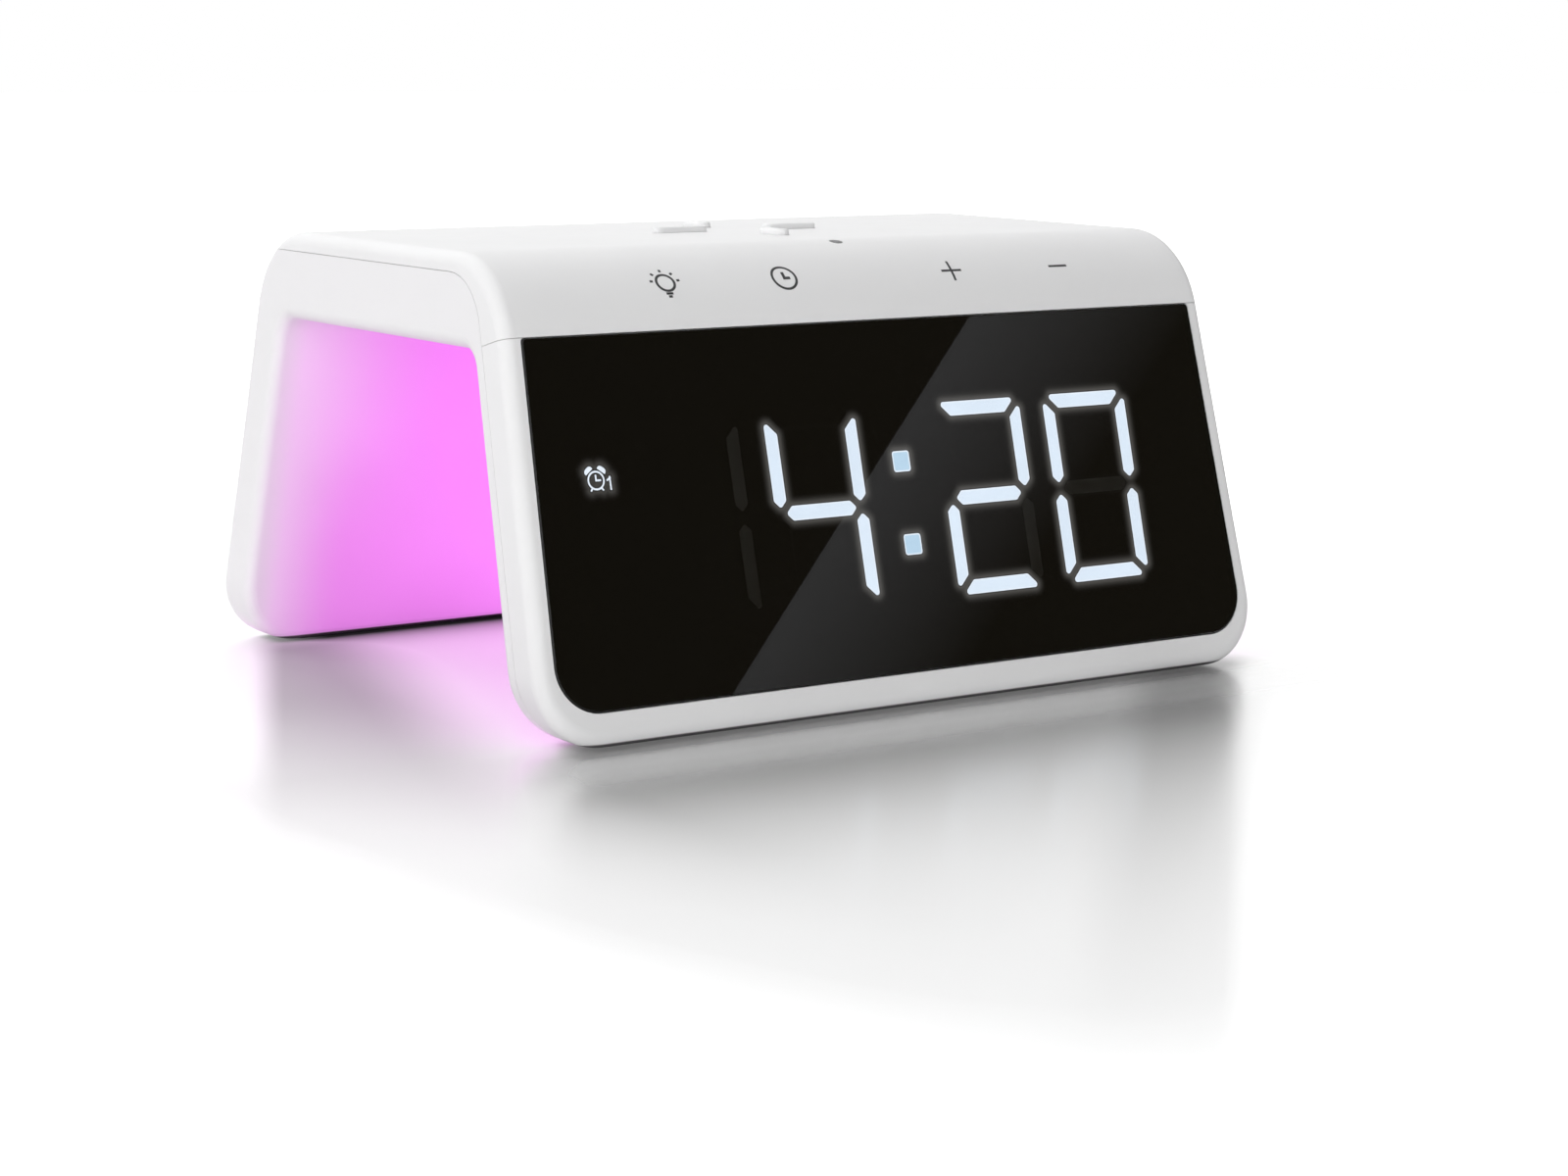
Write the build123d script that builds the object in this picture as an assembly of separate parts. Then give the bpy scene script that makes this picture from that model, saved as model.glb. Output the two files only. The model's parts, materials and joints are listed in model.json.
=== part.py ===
from build123d import *
import os
from math import cos, pi, radians, sin, sqrt, tan

# Whole clock: an arch of a leaning display leg, a flat charging slab and a leaning rear leg
BODY_WIDTH = 172.5  # across the ends, carried down to the floor
BODY_DEPTH = 138.1  # over the lower edges of the two legs
BODY_HEIGHT = 88.1  # floor to charging surface
FRONT_LEAN = 15.0  # degrees
REAR_LEAN = 13.0  # degrees
END_TAPER = 2.3  # degrees that each end leans in
LEG_THICKNESS = 12.0
SLAB_THICKNESS = 17.6
BEND_RADIUS = 19.5  # outer bends between slab and legs
TUNNEL_RADIUS = 5.0  # upper corners of the tunnel
LEG_CORNER_RADIUS = 13.0  # lower corners of the legs, seen from the front
EDGE_RADIUS = 2.6  # outer edges of ends and undersides
TUNNEL_EDGE_RADIUS = 2.4  # edges of the tunnel
FOOT_STANDOFF = 0.4  # rubber that shows below the shells

# Shells and the seams between them
WALL = 2.2
FLOOR_WALL = 3.0
PANEL_GAP = 0.1
SEAM_DEPTH = 7.7  # front frame and top cover reach this far back from the front face
SEAM_DROP = 3.7  # rim of the top cover below the charging surface
SEAM_RADIUS = 12.0
FIT_GAP = 0.15  # clearance round a piece that is set into another
SLIDE_GAP = 0.3  # clearance beside a tongue or a turning tab
CUT_OVERRUN = 8.0

# Snap tongues that hold the front frame and the top cover to the light housing
TONGUE_WIDTH = 9.0
TONGUE_THICKNESS = 1.2
TONGUE_ROOT = 2.6
TONGUE_REACH = 1.6
FRAME_TONGUE_SHARES = (0.26, 0.695)  # of the lens height
COVER_TONGUE_SHARES = (0.15, 0.82)  # of the slab between its bends

# Rubber feet
FOOT_WIDTH = 5.0
FOOT_SEAT = 1.2
FOOT_END_MARGIN = 1.0

# Display lens
LENS_THICKNESS = 2.0
LENS_PROUD = 0.2
LENS_BEVEL = 0.35
LENS_BOTTOM = 7.35  # up the front face from the floor
LENS_SIDE_BEZEL = 3.85
LENS_CORNER = 8.75
LENS_TOP_CORNER = 1.0
LEDGE_THICKNESS = 1.8

# Digits and marks behind the lens
DIGIT_SHIFT = 2.0  # middle of the colon, right of the clock's middle
DIGIT_WIDTH = 21.4
DIGIT_MARGIN_BELOW = 13.75  # lens edge to digits
DIGIT_MARGIN_ABOVE = 16.8
DIGIT_INNER = 20.2  # colon to the middle of the digits beside it
DIGIT_PITCH = 27.3
SEGMENT_WIDTH = 2.85
SEGMENT_GAP = 1.5
SEGMENT_CORNER = 0.6
SEGMENT_DEPTH = 1.5
COLON_SIZE = 4.1
COLON_CORNER = 0.6
COLON_SPREAD = 8.15
MARK_END_GAP = 13.5  # lens side to the middle of the mark
MARK_LIFT = 9.3  # above the middle of the digits
MARK_RADIUS = 1.82
MARK_LINE = 0.36
MARK_GAP = 0.2
MARK_BELL_LENGTH = 1.95
MARK_BELL_THICKNESS = 0.9
MARK_BELL_ANGLE = 37.0  # degrees
MARK_FOOT_LENGTH = 0.55
MARK_FOOT_ANGLE = 35.0  # degrees
MARK_ONE_ACROSS = 2.95
MARK_ONE_DROP = 0.65
MARK_ONE_HEIGHT = 2.6
MARK_FLAG_LENGTH = 1.1
MARK_FLAG_ANGLE = 36.0  # degrees
MARK_STROKE_DEPTH = 0.3
MARK_PANE_MARGIN = 0.5

# Display block and board
REFLECTOR_END_GAP = 7.8  # lens side to reflector
REFLECTOR_MARGIN = 6.0  # above and below the digits
REFLECTOR_DEPTH = 4.0
BOARD_THICKNESS = 1.2
BOARD_CORNER = 0.6
DISPLAY_BOARD_LIP = 1.0  # past the reflector's ends
DISPLAY_BOARD_MARGIN = 6.0  # above and below the reflector
DISPLAY_BOSS_INSET = 7.0  # from the reflector's ends
DISPLAY_BOSS_OFFSET = 3.4  # above and below the reflector
LED_LENGTH = 1.6
LED_WIDTH = 0.8
LED_HEIGHT = 0.7

# Screws and bosses
SCREW_SHANK = 1.8
SCREW_HEAD = 3.4
SCREW_HEAD_HEIGHT = 1.2
SCREW_GAP = 0.1
SCREW_BITE = 2.2  # thread length past what a screw clamps
RECESS_WIDTH = 0.6
RECESS_LENGTH = 2.0
RECESS_DEPTH = 0.6
BOSS_DIAMETER = 4.6

# Charging coil under the slab
COIL_DIAMETER = 43.0
COIL_BORE = 20.5
COIL_THICKNESS = 1.2
COIL_CLEARANCE = 0.3
FERRITE_MARGIN = 2.5
FERRITE_CORNER = 4.0
FERRITE_THICKNESS = 1.0
TRAY_MARGIN = 1.5
TRAY_THICKNESS = 1.2
TRAY_EAR = 7.0
LEAD_DIAMETER = 1.0
LEAD_SPREAD = 5.0
LEAD_HOLE_GAP = 0.4

# Grip bars on the charging surface
GRIP_WIDTH = 2.8
GRIP_HEIGHT = 1.2
GRIP_SEAT = 0.8
GRIP_ROUND = 0.6
GRIP_SIDE_NEAR = 7.2
GRIP_SIDE_LENGTH = 12.6
GRIP_END_NEAR = 10.4
GRIP_END_LENGTH = 8.2

# Touch keys under the front bend
TOUCH_ANGLE = 46.5  # degrees round the bend from the slab
TOUCH_ROW_SHIFT = 1.3
TOUCH_INNER = 20.1
TOUCH_PITCH = 27.0
TOUCH_PAD_DIAMETER = 7.0
TOUCH_PAD_HEIGHT = 4.8
TOUCH_BOARD_MARGIN = 5.4  # past the outer pads
TOUCH_BOARD_HEIGHT = 10.0
TOUCH_BOARD_THICKNESS = 1.0

# Indicator window
INDICATOR_ANGLE = 10.7  # degrees round the bend from the slab
INDICATOR_ACROSS = 0.7
INDICATOR_DIAMETER = 2.5
INDICATOR_FLANGE = 5.0
INDICATOR_FLANGE_HEIGHT = 1.0
INDICATOR_LED_GAP = 0.3
INDICATOR_LED_LENGTH = 2.0
INDICATOR_LED_WIDTH = 1.25
INDICATOR_LED_HEIGHT = 0.8

# Main board above the tunnel
TRAY_CLEARANCE = 2.7  # main board to coil tray
MAIN_BOARD_END_GAP = 11.6
MAIN_BOARD_FRONT_GAP = 1.3  # behind the touch board
MAIN_BOARD_REAR_GAP = 3.9  # in front of the rear bend
MAIN_POST_MARGIN = 6.0
MAIN_POST_DIAMETER = 6.0
MOOD_LED_SIZE = 5.0
MOOD_LED_HEIGHT = 1.6
MOOD_LED_COUNT = 6
MOOD_LED_MARGIN = 15.5  # outer lights to the board's ends
MOOD_LED_ROW = 8.0
CHIP_SIZE = 7.0
CHIP_HEIGHT = 0.9
INDUCTOR_SIZE = 7.3
INDUCTOR_CORNER = 1.2
INDUCTOR_HEIGHT = 4.0
CAPACITOR_DIAMETER = 5.0
CAPACITOR_HEIGHT = 4.4
SIDE_PARTS_GAP = 16.5  # beside the coil tray
SIDE_PARTS_PITCH = 11.0

# Ribbon cables between the boards
RIBBON_THICKNESS = 0.4
RIBBON_CLEARANCE = 1.8  # below the main board's posts, above the tunnel's ceiling
RIBBON_DEPTH = 8.0  # inside a leg, from its outer face
RIBBON_RADIUS = 8.0
DISPLAY_RIBBON_WIDTH = 20.0
DISPLAY_RIBBON_ACROSS = -24.0
POWER_RIBBON_WIDTH = 8.0
SPEAKER_RIBBON_WIDTH = 3.0
CELL_RIBBON_WIDTH = 3.0
CONNECTOR_MARGIN = 2.0
CONNECTOR_LENGTH = 4.5
DISPLAY_CONNECTOR_DROP = 12.1  # below the display board's top
DISPLAY_CONNECTOR_HEIGHT = 1.9

# Rear cover
REAR_COVER_END_MARGIN = 9.65  # beside the speaker
REAR_COVER_MARGIN = 6.65  # above and below the speaker
REAR_COVER_BOTTOM = 12.0
REAR_SPREAD = 37.0  # speaker and cell from the middle of the cover
REAR_COVER_CORNER = 6.0
REAR_COVER_THICKNESS = 1.8
REAR_LAND_WIDTH = 5.0
REAR_WINDOW_CORNER = 2.0
REAR_LAND_MARGIN = 2.0
REAR_LAND_THICKNESS = 1.8
REAR_SCREW_MARGIN = 3.6
REAR_BOSS_REACH = 2.6

# Power inlet and its board
INLET_ACROSS = 0.0
INLET_LIFT = 10.0  # above the cover's lower edge
USB_WIDTH = 8.94
USB_HEIGHT = 3.26
USB_WALL = 0.3
USB_INSET = 0.3
USB_TONGUE_WIDTH = 6.7
USB_TONGUE_THICKNESS = 0.7
USB_TONGUE_BASE = 1.6
USB_TONGUE_SETBACK = 1.0
POWER_BOARD_WIDTH = 30.0
POWER_BOARD_HEIGHT = 12.0
POWER_BOARD_DEPTH = 7.2
POWER_BOSS_SPREAD = 11.5

# Speaker
SPEAKER_DIAMETER = 28.0
SPEAKER_RIM = 1.8
SPEAKER_FRAME_HEIGHT = 2.6
SPEAKER_BACK = 0.8
SPEAKER_MAGNET = 15.0
SPEAKER_MAGNET_HEIGHT = 2.6
SPEAKER_CONE_THICKNESS = 0.5
SPEAKER_DOME = 11.0
SPEAKER_DOME_HEIGHT = 0.4
GASKET_THICKNESS = 0.8
SPEAKER_FENCE = 1.2
SPEAKER_FENCE_HEIGHT = 2.2
SPEAKER_TAB_WIDTH = 6.0
SPEAKER_TAB_REACH = 2.0
SOUND_HOLE = 1.7
SOUND_RING_PITCH = 3.4
SOUND_RINGS = 3
SOUND_HOLES_PER_RING = 6

# Backup cell and its twist cap
CELL_DIAMETER = 20.0
CELL_THICKNESS = 3.2
CELL_EDGE = 0.5
CELL_POCKET_GAP = 0.4
CAP_LIP = 1.0  # past the skirt
CAP_RUNNING_GAP = 0.08
CAP_THICKNESS = 1.8
CAP_SKIRT_MARGIN = 0.8  # past the cell
CAP_SKIRT_HEIGHT = 1.2
CAP_TAB_REACH = 2.2
CAP_TAB_HEIGHT = 0.9
CAP_TAB_ANGLE = 30.0  # degrees
CAP_TURN = 50.0  # degrees from locked to free
CAP_NOTCH_SPARE = 6.0  # degrees of room at the notches
COIN_SLOT_MARGIN = 4.8
COIN_SLOT_WIDTH = 2.2
COIN_SLOT_DEPTH = 1.0
SEAL_WIDTH = 1.0
SEAL_THICKNESS = 0.5
TUB_WALL = 1.2
TUB_FLOOR = 1.0
CONTACT_THICKNESS = 0.4
CONTACT_WIDTH = 4.0
CONTACT_LENGTH = 6.0
CONTACT_TAIL = 2.0
SIDE_CONTACT_WIDTH = 5.0
SIDE_CONTACT_HEIGHT = 2.6

# Levels and gaps worked out from the sizes above
shell_bottom = FOOT_STANDOFF
tunnel_height = BODY_HEIGHT - SLAB_THICKNESS
ceiling_top = tunnel_height + WALL
cover_underside = BODY_HEIGHT - WALL
lens_back = LENS_THICKNESS - LENS_PROUD
ledge_back = lens_back + LEDGE_THICKNESS
display_board_front = lens_back + REFLECTOR_DEPTH
display_board_back = display_board_front + BOARD_THICKNESS
coil_bottom = cover_underside - COIL_CLEARANCE - COIL_THICKNESS
ferrite_bottom = coil_bottom - FERRITE_THICKNESS
tray_bottom = ferrite_bottom - TRAY_THICKNESS
main_board_top = tray_bottom - TRAY_CLEARANCE
main_board_bottom = main_board_top - BOARD_THICKNESS
post_height = main_board_bottom - ceiling_top
ferrite_size = COIL_DIAMETER + 2 * FERRITE_MARGIN
tray_size = ferrite_size + 2 * TRAY_MARGIN
bend_inside = BEND_RADIUS - WALL
touch_board_outer = bend_inside - TOUCH_PAD_HEIGHT
touch_outer = TOUCH_INNER + TOUCH_PITCH
touch_board_length = 2 * (touch_outer + TOUCH_PAD_DIAMETER / 2 + TOUCH_BOARD_MARGIN)
touch_post_spread = (TOUCH_INNER + touch_outer) / 2
speaker_fence_diameter = SPEAKER_DIAMETER + 2 * FIT_GAP + 2 * SPEAKER_FENCE
cap_skirt_diameter = CELL_DIAMETER + 2 * CAP_SKIRT_MARGIN
cap_diameter = cap_skirt_diameter + 2 * CAP_LIP
tab_sweep = cap_skirt_diameter + 2 * CAP_TAB_REACH + 2 * SLIDE_GAP
tub_diameter = tab_sweep + 2 * TUB_WALL
rear_content = max(speaker_fence_diameter, tub_diameter)
rear_cover_width = 2 * (REAR_SPREAD + rear_content / 2 + REAR_COVER_END_MARGIN)
rear_cover_height = rear_content + 2 * REAR_COVER_MARGIN
rear_cover_middle = REAR_COVER_BOTTOM + rear_cover_height / 2
inlet_rise = REAR_COVER_BOTTOM + INLET_LIFT
ribbon_level = ceiling_top + RIBBON_CLEARANCE
JOIN_TOLERANCE = 1e-6
BELL_CROWN_SHARE = 0.75


def tuck(lean):
    """How far the rounded lower edge stays inside a leg's face carried down to the floor."""
    rise = FOOT_STANDOFF + EDGE_RADIUS
    return rise * tan(radians(lean)) + EDGE_RADIUS / cos(radians(lean)) - EDGE_RADIUS


class Leg:
    """A leaning leg, seen from outside: across, rise up its face, and depth inwards."""

    def __init__(self, side, lean):
        self.side = side
        self.lean = radians(lean)
        self.foot = side * (BODY_DEPTH / 2 + tuck(lean))
        outward = (0, side * cos(self.lean), sin(self.lean))
        self.plane = Plane(origin=(0, self.foot, 0), x_dir=(-side, 0, 0), z_dir=outward)

    def y_at(self, depth, z):
        return self.foot - self.side * (z * tan(self.lean) + depth / cos(self.lean))

    def section_point(self, rise, depth):
        y = self.foot - self.side * (rise * sin(self.lean) + depth * cos(self.lean))
        return y, rise * cos(self.lean) - depth * sin(self.lean)

    def depth_of(self, point):
        return (point.Y - self.y_at(0, point.Z)) * -self.side * cos(self.lean)

    def at(self, across, rise, depth):
        return self.plane.location * Pos(across, rise, -depth)


front = Leg(-1, FRONT_LEAN)
rear = Leg(1, REAR_LEAN)
seam_rise = BODY_HEIGHT / cos(front.lean) - BEND_RADIUS * tan(pi / 4 - front.lean / 2)
bend_centre = Vector(0, front.y_at(BEND_RADIUS, BODY_HEIGHT - BEND_RADIUS), BODY_HEIGHT - BEND_RADIUS)


def half_width(z):
    return BODY_WIDTH / 2 - z * tan(radians(END_TAPER))


def lens_half_width(rise):
    return half_width(rise * cos(front.lean)) - LENS_SIDE_BEZEL


# Display, from the lens inwards
lens_top = seam_rise - PANEL_GAP
digit_bottom = LENS_BOTTOM + DIGIT_MARGIN_BELOW
digit_height = lens_top - DIGIT_MARGIN_ABOVE - digit_bottom
digit_rise = digit_bottom + digit_height / 2
digit_outer = DIGIT_INNER + DIGIT_PITCH
mark_rise = digit_rise + MARK_LIFT
mark_across = MARK_END_GAP - lens_half_width(mark_rise)
reflector_width = 2 * (lens_half_width(digit_rise) - REFLECTOR_END_GAP)
reflector_height = digit_height + 2 * REFLECTOR_MARGIN
display_board_width = reflector_width + 2 * DISPLAY_BOARD_LIP
display_board_height = reflector_height + 2 * DISPLAY_BOARD_MARGIN
display_connector_rise = digit_rise + display_board_height / 2 - DISPLAY_CONNECTOR_DROP

# Main board, between the touch board and the rear bend
touch_turn = radians(TOUCH_ANGLE)
touch_board_reach = (touch_board_outer - TOUCH_BOARD_THICKNESS) * sin(touch_turn)
touch_board_edge = bend_centre.Y - touch_board_reach + TOUCH_BOARD_HEIGHT / 2 * cos(touch_turn)
rear_bend_middle = rear.y_at(BEND_RADIUS, BODY_HEIGHT - BEND_RADIUS)
main_board_front = touch_board_edge + MAIN_BOARD_FRONT_GAP
main_board_rear = rear_bend_middle - MAIN_BOARD_REAR_GAP
main_board_width = 2 * (half_width(main_board_top) - WALL - MAIN_BOARD_END_GAP)
mood_led_pitch = (main_board_width - 2 * MOOD_LED_MARGIN) / (MOOD_LED_COUNT - 1)
side_parts_across = tray_size / 2 + SIDE_PARTS_GAP


def outline(points, radii):
    """Flat face with straight sides and each corner rounded to its own radius."""
    corners = []
    count = len(points)
    for i in range(count):
        corner = Vector(*points[i])
        before = (Vector(*points[i - 1]) - corner).normalized()
        after = (Vector(*points[(i + 1) % count]) - corner).normalized()
        half_angle = radians(before.get_angle(after) / 2)
        reach = radii[i] / tan(half_angle)
        bisector = (before + after).normalized()
        middle = corner + bisector * (radii[i] / sin(half_angle) - radii[i])
        corners.append((corner + before * reach, middle, corner + after * reach))
    edges = []
    for i, (start, middle, end) in enumerate(corners):
        if (end - start).length > JOIN_TOLERANCE:
            edges.append(Edge.make_three_point_arc(start, middle, end))
        following = corners[(i + 1) % count][0]
        if (following - end).length > JOIN_TOLERANCE:
            edges.append(Edge.make_line(end, following))
    return Face(Wire(edges))


def plate(width, height, corner):
    """Rectangle with four like corners, about its own middle."""
    x = width / 2
    y = height / 2
    return outline([(-x, -y), (x, -y), (x, y), (-x, y)], [corner] * 4)


def across_body(section):
    """Section in depth and height, run through the whole width."""
    return extrude(Plane.YZ.location * section, amount=BODY_WIDTH / 2 + CUT_OVERRUN, both=True)


def inwards(face, height):
    """Solid from a face drawn on a leg's plane or a board, away from its outer side."""
    return extrude(face, amount=height, dir=(0, 0, -1))


def upwards(face, height):
    return extrude(face, amount=height, dir=(0, 0, 1))


def block(width, height, thickness):
    """Box that lies behind the plane that it is placed on."""
    return Pos(0, 0, -thickness / 2) * Box(width, height, thickness)


def disc(diameter, thickness):
    """Cylinder that lies behind the plane that it is placed on."""
    return Pos(0, 0, -thickness / 2) * Cylinder(diameter / 2, thickness)


def ring(diameter, bore, thickness):
    return disc(diameter, thickness) - Pos(0, 0, CUT_OVERRUN) * disc(bore, thickness + 2 * CUT_OVERRUN)


def arch(outer, inner, ends, base):
    """The clock's arch with outer faces, tunnel faces, ends and underside moved in."""
    low = shell_bottom + base
    top = BODY_HEIGHT - outer
    ceiling = tunnel_height + inner
    leg = LEG_THICKNESS - inner
    bend = BEND_RADIUS - outer
    corner = TUNNEL_RADIUS + inner
    section = outline(
        [
            (front.y_at(outer, low), low),
            (front.y_at(outer, top), top),
            (rear.y_at(outer, top), top),
            (rear.y_at(outer, low), low),
            (rear.y_at(leg, low), low),
            (rear.y_at(leg, ceiling), ceiling),
            (front.y_at(leg, ceiling), ceiling),
            (front.y_at(leg, low), low),
        ],
        [0, bend, bend, 0, 0, corner, corner, 0],
    )
    high = BODY_HEIGHT + CUT_OVERRUN
    wide = half_width(low) - ends
    narrow = half_width(high) - ends
    round_off = LEG_CORNER_RADIUS - ends
    corners = [(-wide, low), (wide, low), (narrow, high), (-narrow, high)]
    front_view = outline(corners, [round_off, round_off, 0, 0])
    return across_body(section) & extrude(Plane.XZ.location * front_view, amount=BODY_DEPTH, both=True)


def faces_tunnel(point):
    tolerance = WALL / 2
    if point.Z > tunnel_height + tolerance:
        return False
    return min(front.depth_of(point), rear.depth_of(point)) > LEG_THICKNESS - tolerance


def sharp_edges(body, tunnel):
    """Edges where the ends and undersides meet the outer faces, or the tunnel's faces."""
    chosen = []
    for edge in body.edges().filter_by(lambda e: faces_tunnel(e @ 0.5) == tunnel):
        middle = edge @ 0.5
        heading = edge % 0.5
        straight = edge.geom_type == GeomType.LINE
        smooth_in_section = straight and abs(heading.Y) < JOIN_TOLERANCE and abs(heading.Z) < JOIN_TOLERANCE
        smooth_in_section = smooth_in_section and middle.Z > shell_bottom + EDGE_RADIUS / 2
        smooth_in_view = straight and abs(heading.X) < JOIN_TOLERANCE and abs(heading.Z) < JOIN_TOLERANCE
        smooth_in_view = smooth_in_view and middle.Z < tunnel_height / 2
        if not smooth_in_section and not smooth_in_view:
            chosen.append(edge)
    return chosen


def make_envelope():
    """Outside of the whole clock, with its edges rounded."""
    body = arch(0, 0, 0, 0).solid()
    body = fillet(sharp_edges(body, False), EDGE_RADIUS).solid()
    return fillet(sharp_edges(body, True), TUNNEL_EDGE_RADIUS).solid()


def top_zone(grow):
    """All that lies above the seam of the top cover."""
    level = BODY_HEIGHT - SEAM_DROP - grow
    depth = SEAM_DEPTH + grow
    start = front.section_point(seam_rise - grow, -CUT_OVERRUN)
    high = BODY_HEIGHT + CUT_OVERRUN
    points = [
        start,
        front.section_point(seam_rise - grow, depth),
        (front.y_at(depth, level), level),
        (rear.foot, level),
        (rear.foot, high),
        (start[0], high),
    ]
    return across_body(outline(points, [0, 0, SEAM_RADIUS, 0, 0, 0]))


def front_zone(top, depth):
    """All of the display leg in front of the seam of the front frame."""
    points = [
        front.section_point(top, -CUT_OVERRUN),
        front.section_point(top, depth),
        front.section_point(-CUT_OVERRUN, depth),
        front.section_point(-CUT_OVERRUN, -CUT_OVERRUN),
    ]
    return across_body(outline(points, [0] * 4))


envelope = make_envelope()
cavity = arch(WALL, WALL, WALL, FLOOR_WALL)


def foot_centre(leg):
    """Middle of the flat under a leg, between its rounded edges."""
    outer_edge = EDGE_RADIUS / tan(pi / 4 - leg.lean / 2)
    tunnel_edge = TUNNEL_EDGE_RADIUS / tan(pi / 4 + leg.lean / 2)
    flat_middle = (outer_edge + LEG_THICKNESS / cos(leg.lean) - tunnel_edge) / 2
    return leg.y_at(0, shell_bottom) - leg.side * flat_middle


def foot_strip(leg, grow):
    """Rubber strip under a leg, with room round it where it is set in."""
    length = 2 * (half_width(0) - LEG_CORNER_RADIUS - FOOT_END_MARGIN + grow)
    width = FOOT_WIDTH + 2 * grow
    face = Pos(0, foot_centre(leg), 0) * plate(length, width, width / 2 - grow)
    return upwards(face, shell_bottom + FOOT_SEAT)


def screw(length):
    """Pan-head screw, head up, with its seat at the origin and a cross recess."""
    head = Pos(0, 0, SCREW_HEAD_HEIGHT / 2) * Cylinder(SCREW_HEAD / 2, SCREW_HEAD_HEIGHT)
    head = fillet(head.edges().group_by(Axis.Z)[-1], SCREW_HEAD_HEIGHT / 3)
    shank = disc(SCREW_SHANK, length)
    recess = Pos(0, 0, SCREW_HEAD_HEIGHT) * block(RECESS_LENGTH, RECESS_WIDTH, RECESS_DEPTH)
    return head + shank - recess - Rot(0, 0, 90) * recess


def screw_hole(length):
    """Bore for a screw's shank, behind the seat and a little past its end."""
    return Pos(0, 0, SCREW_GAP) * disc(SCREW_SHANK + 2 * SCREW_GAP, length + 3 * SCREW_GAP)


def gather(solids):
    return Compound(children=list(solids))


# Lens and display

def lens_outline(grow):
    bottom = LENS_BOTTOM - grow
    top = lens_top + grow
    wide = lens_half_width(bottom) + grow
    narrow = lens_half_width(top) + grow
    radii = [LENS_CORNER + grow, LENS_CORNER + grow, LENS_TOP_CORNER, LENS_TOP_CORNER]
    return outline([(-wide, bottom), (wide, bottom), (narrow, top), (-narrow, top)], radii)


def make_display_lens():
    lens = front.at(0, 0, -LENS_PROUD) * inwards(lens_outline(0), LENS_THICKNESS)
    rim = lens.faces().sort_by(Axis(front.plane.origin, front.plane.z_dir))[-1].edges()
    return chamfer(rim, LENS_BEVEL)


def segment_shapes():
    """Seven segments of a digit about its middle, by the usual letters."""
    x = DIGIT_WIDTH / 2
    y = digit_height / 2
    t = SEGMENT_WIDTH
    g = SEGMENT_GAP / sqrt(2)
    top = [(-x + g, y), (x - g, y), (x - t - g, y - t), (-x + t + g, y - t)]
    upper_right = [(x, y - g), (x, g + t / 2), (x - t / 2, g), (x - t, g + t / 2), (x - t, y - t - g)]
    middle = [
        (-x + t / 2 + g, 0), (-x + t + g, t / 2), (x - t - g, t / 2),
        (x - t / 2 - g, 0), (x - t - g, -t / 2), (-x + t + g, -t / 2),
    ]

    def flipped(points, across, up):
        return [(px * across, py * up) for px, py in points]

    return {
        "a": top,
        "b": upper_right,
        "c": flipped(upper_right, 1, -1),
        "d": flipped(top, 1, -1),
        "e": flipped(upper_right, -1, -1),
        "f": flipped(upper_right, -1, 1),
        "g": middle,
    }


# Each digit's place, its lit segments and its dark ones: the display reads 4:20
DIGITS = (
    (-digit_outer, "", "bc"),
    (-DIGIT_INNER, "bcfg", "ade"),
    (DIGIT_INNER, "abdeg", "cf"),
    (digit_outer, "abcdef", "g"),
)


def segment_faces(lit):
    """Faces of all lit or all dark segments on the display, with their middles."""
    shapes = segment_shapes()
    faces = []
    for across, on, off in DIGITS:
        for letter in on if lit else off:
            face = outline(shapes[letter], [SEGMENT_CORNER] * len(shapes[letter]))
            faces.append(Pos(DIGIT_SHIFT + across, digit_rise, 0) * face)
    return faces


def colon_faces():
    dot = plate(COLON_SIZE, COLON_SIZE, COLON_CORNER)
    return [Pos(DIGIT_SHIFT, digit_rise + side * COLON_SPREAD, 0) * dot for side in (-1, 1)]


def mark_faces():
    """Small alarm clock: ring, hands, two bells, two feet, and a figure one beside it."""
    ring_face = Circle(MARK_RADIUS).face() - Circle(MARK_RADIUS - MARK_LINE).face()
    hand_length = MARK_RADIUS - MARK_LINE - MARK_GAP
    hand = plate(MARK_LINE, hand_length, 0)
    reach = (hand_length - MARK_LINE) / 2
    hands = Pos(0, reach, 0) * hand + Pos(reach, 0, 0) * Rot(0, 0, 90) * hand
    half = MARK_BELL_LENGTH / 2
    low = MARK_RADIUS + MARK_GAP
    high = low + MARK_BELL_THICKNESS
    crown = MARK_BELL_THICKNESS * BELL_CROWN_SHARE
    bell = outline([(-half, low), (half, low), (half, high), (-half, high)], [0, 0, crown, crown])
    foot_middle = MARK_RADIUS + MARK_FOOT_LENGTH / 2 + JOIN_TOLERANCE
    leg_mark = Pos(0, -foot_middle, 0) * plate(MARK_LINE, MARK_FOOT_LENGTH, 0)
    stem = plate(MARK_LINE, MARK_ONE_HEIGHT, 0)
    flag_turn = radians(MARK_FLAG_ANGLE)
    flag_across = (MARK_LINE - MARK_FLAG_LENGTH * cos(flag_turn)) / 2
    flag_rise = (MARK_ONE_HEIGHT - MARK_FLAG_LENGTH * sin(flag_turn) - MARK_LINE) / 2
    flag = Rot(0, 0, MARK_FLAG_ANGLE) * plate(MARK_FLAG_LENGTH, MARK_LINE, 0)
    figure = stem + Pos(flag_across, flag_rise, 0) * flag
    figure = Pos(MARK_ONE_ACROSS, -MARK_ONE_DROP, 0) * figure
    pieces = [ring_face, hands, figure]
    for side in (-1, 1):
        pieces.append(Rot(0, 0, side * MARK_BELL_ANGLE) * bell)
        pieces.append(Rot(0, 0, side * MARK_FOOT_ANGLE) * leg_mark)
    return [Pos(mark_across, mark_rise, 0) * piece for shape in pieces for piece in shape.faces()]


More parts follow.
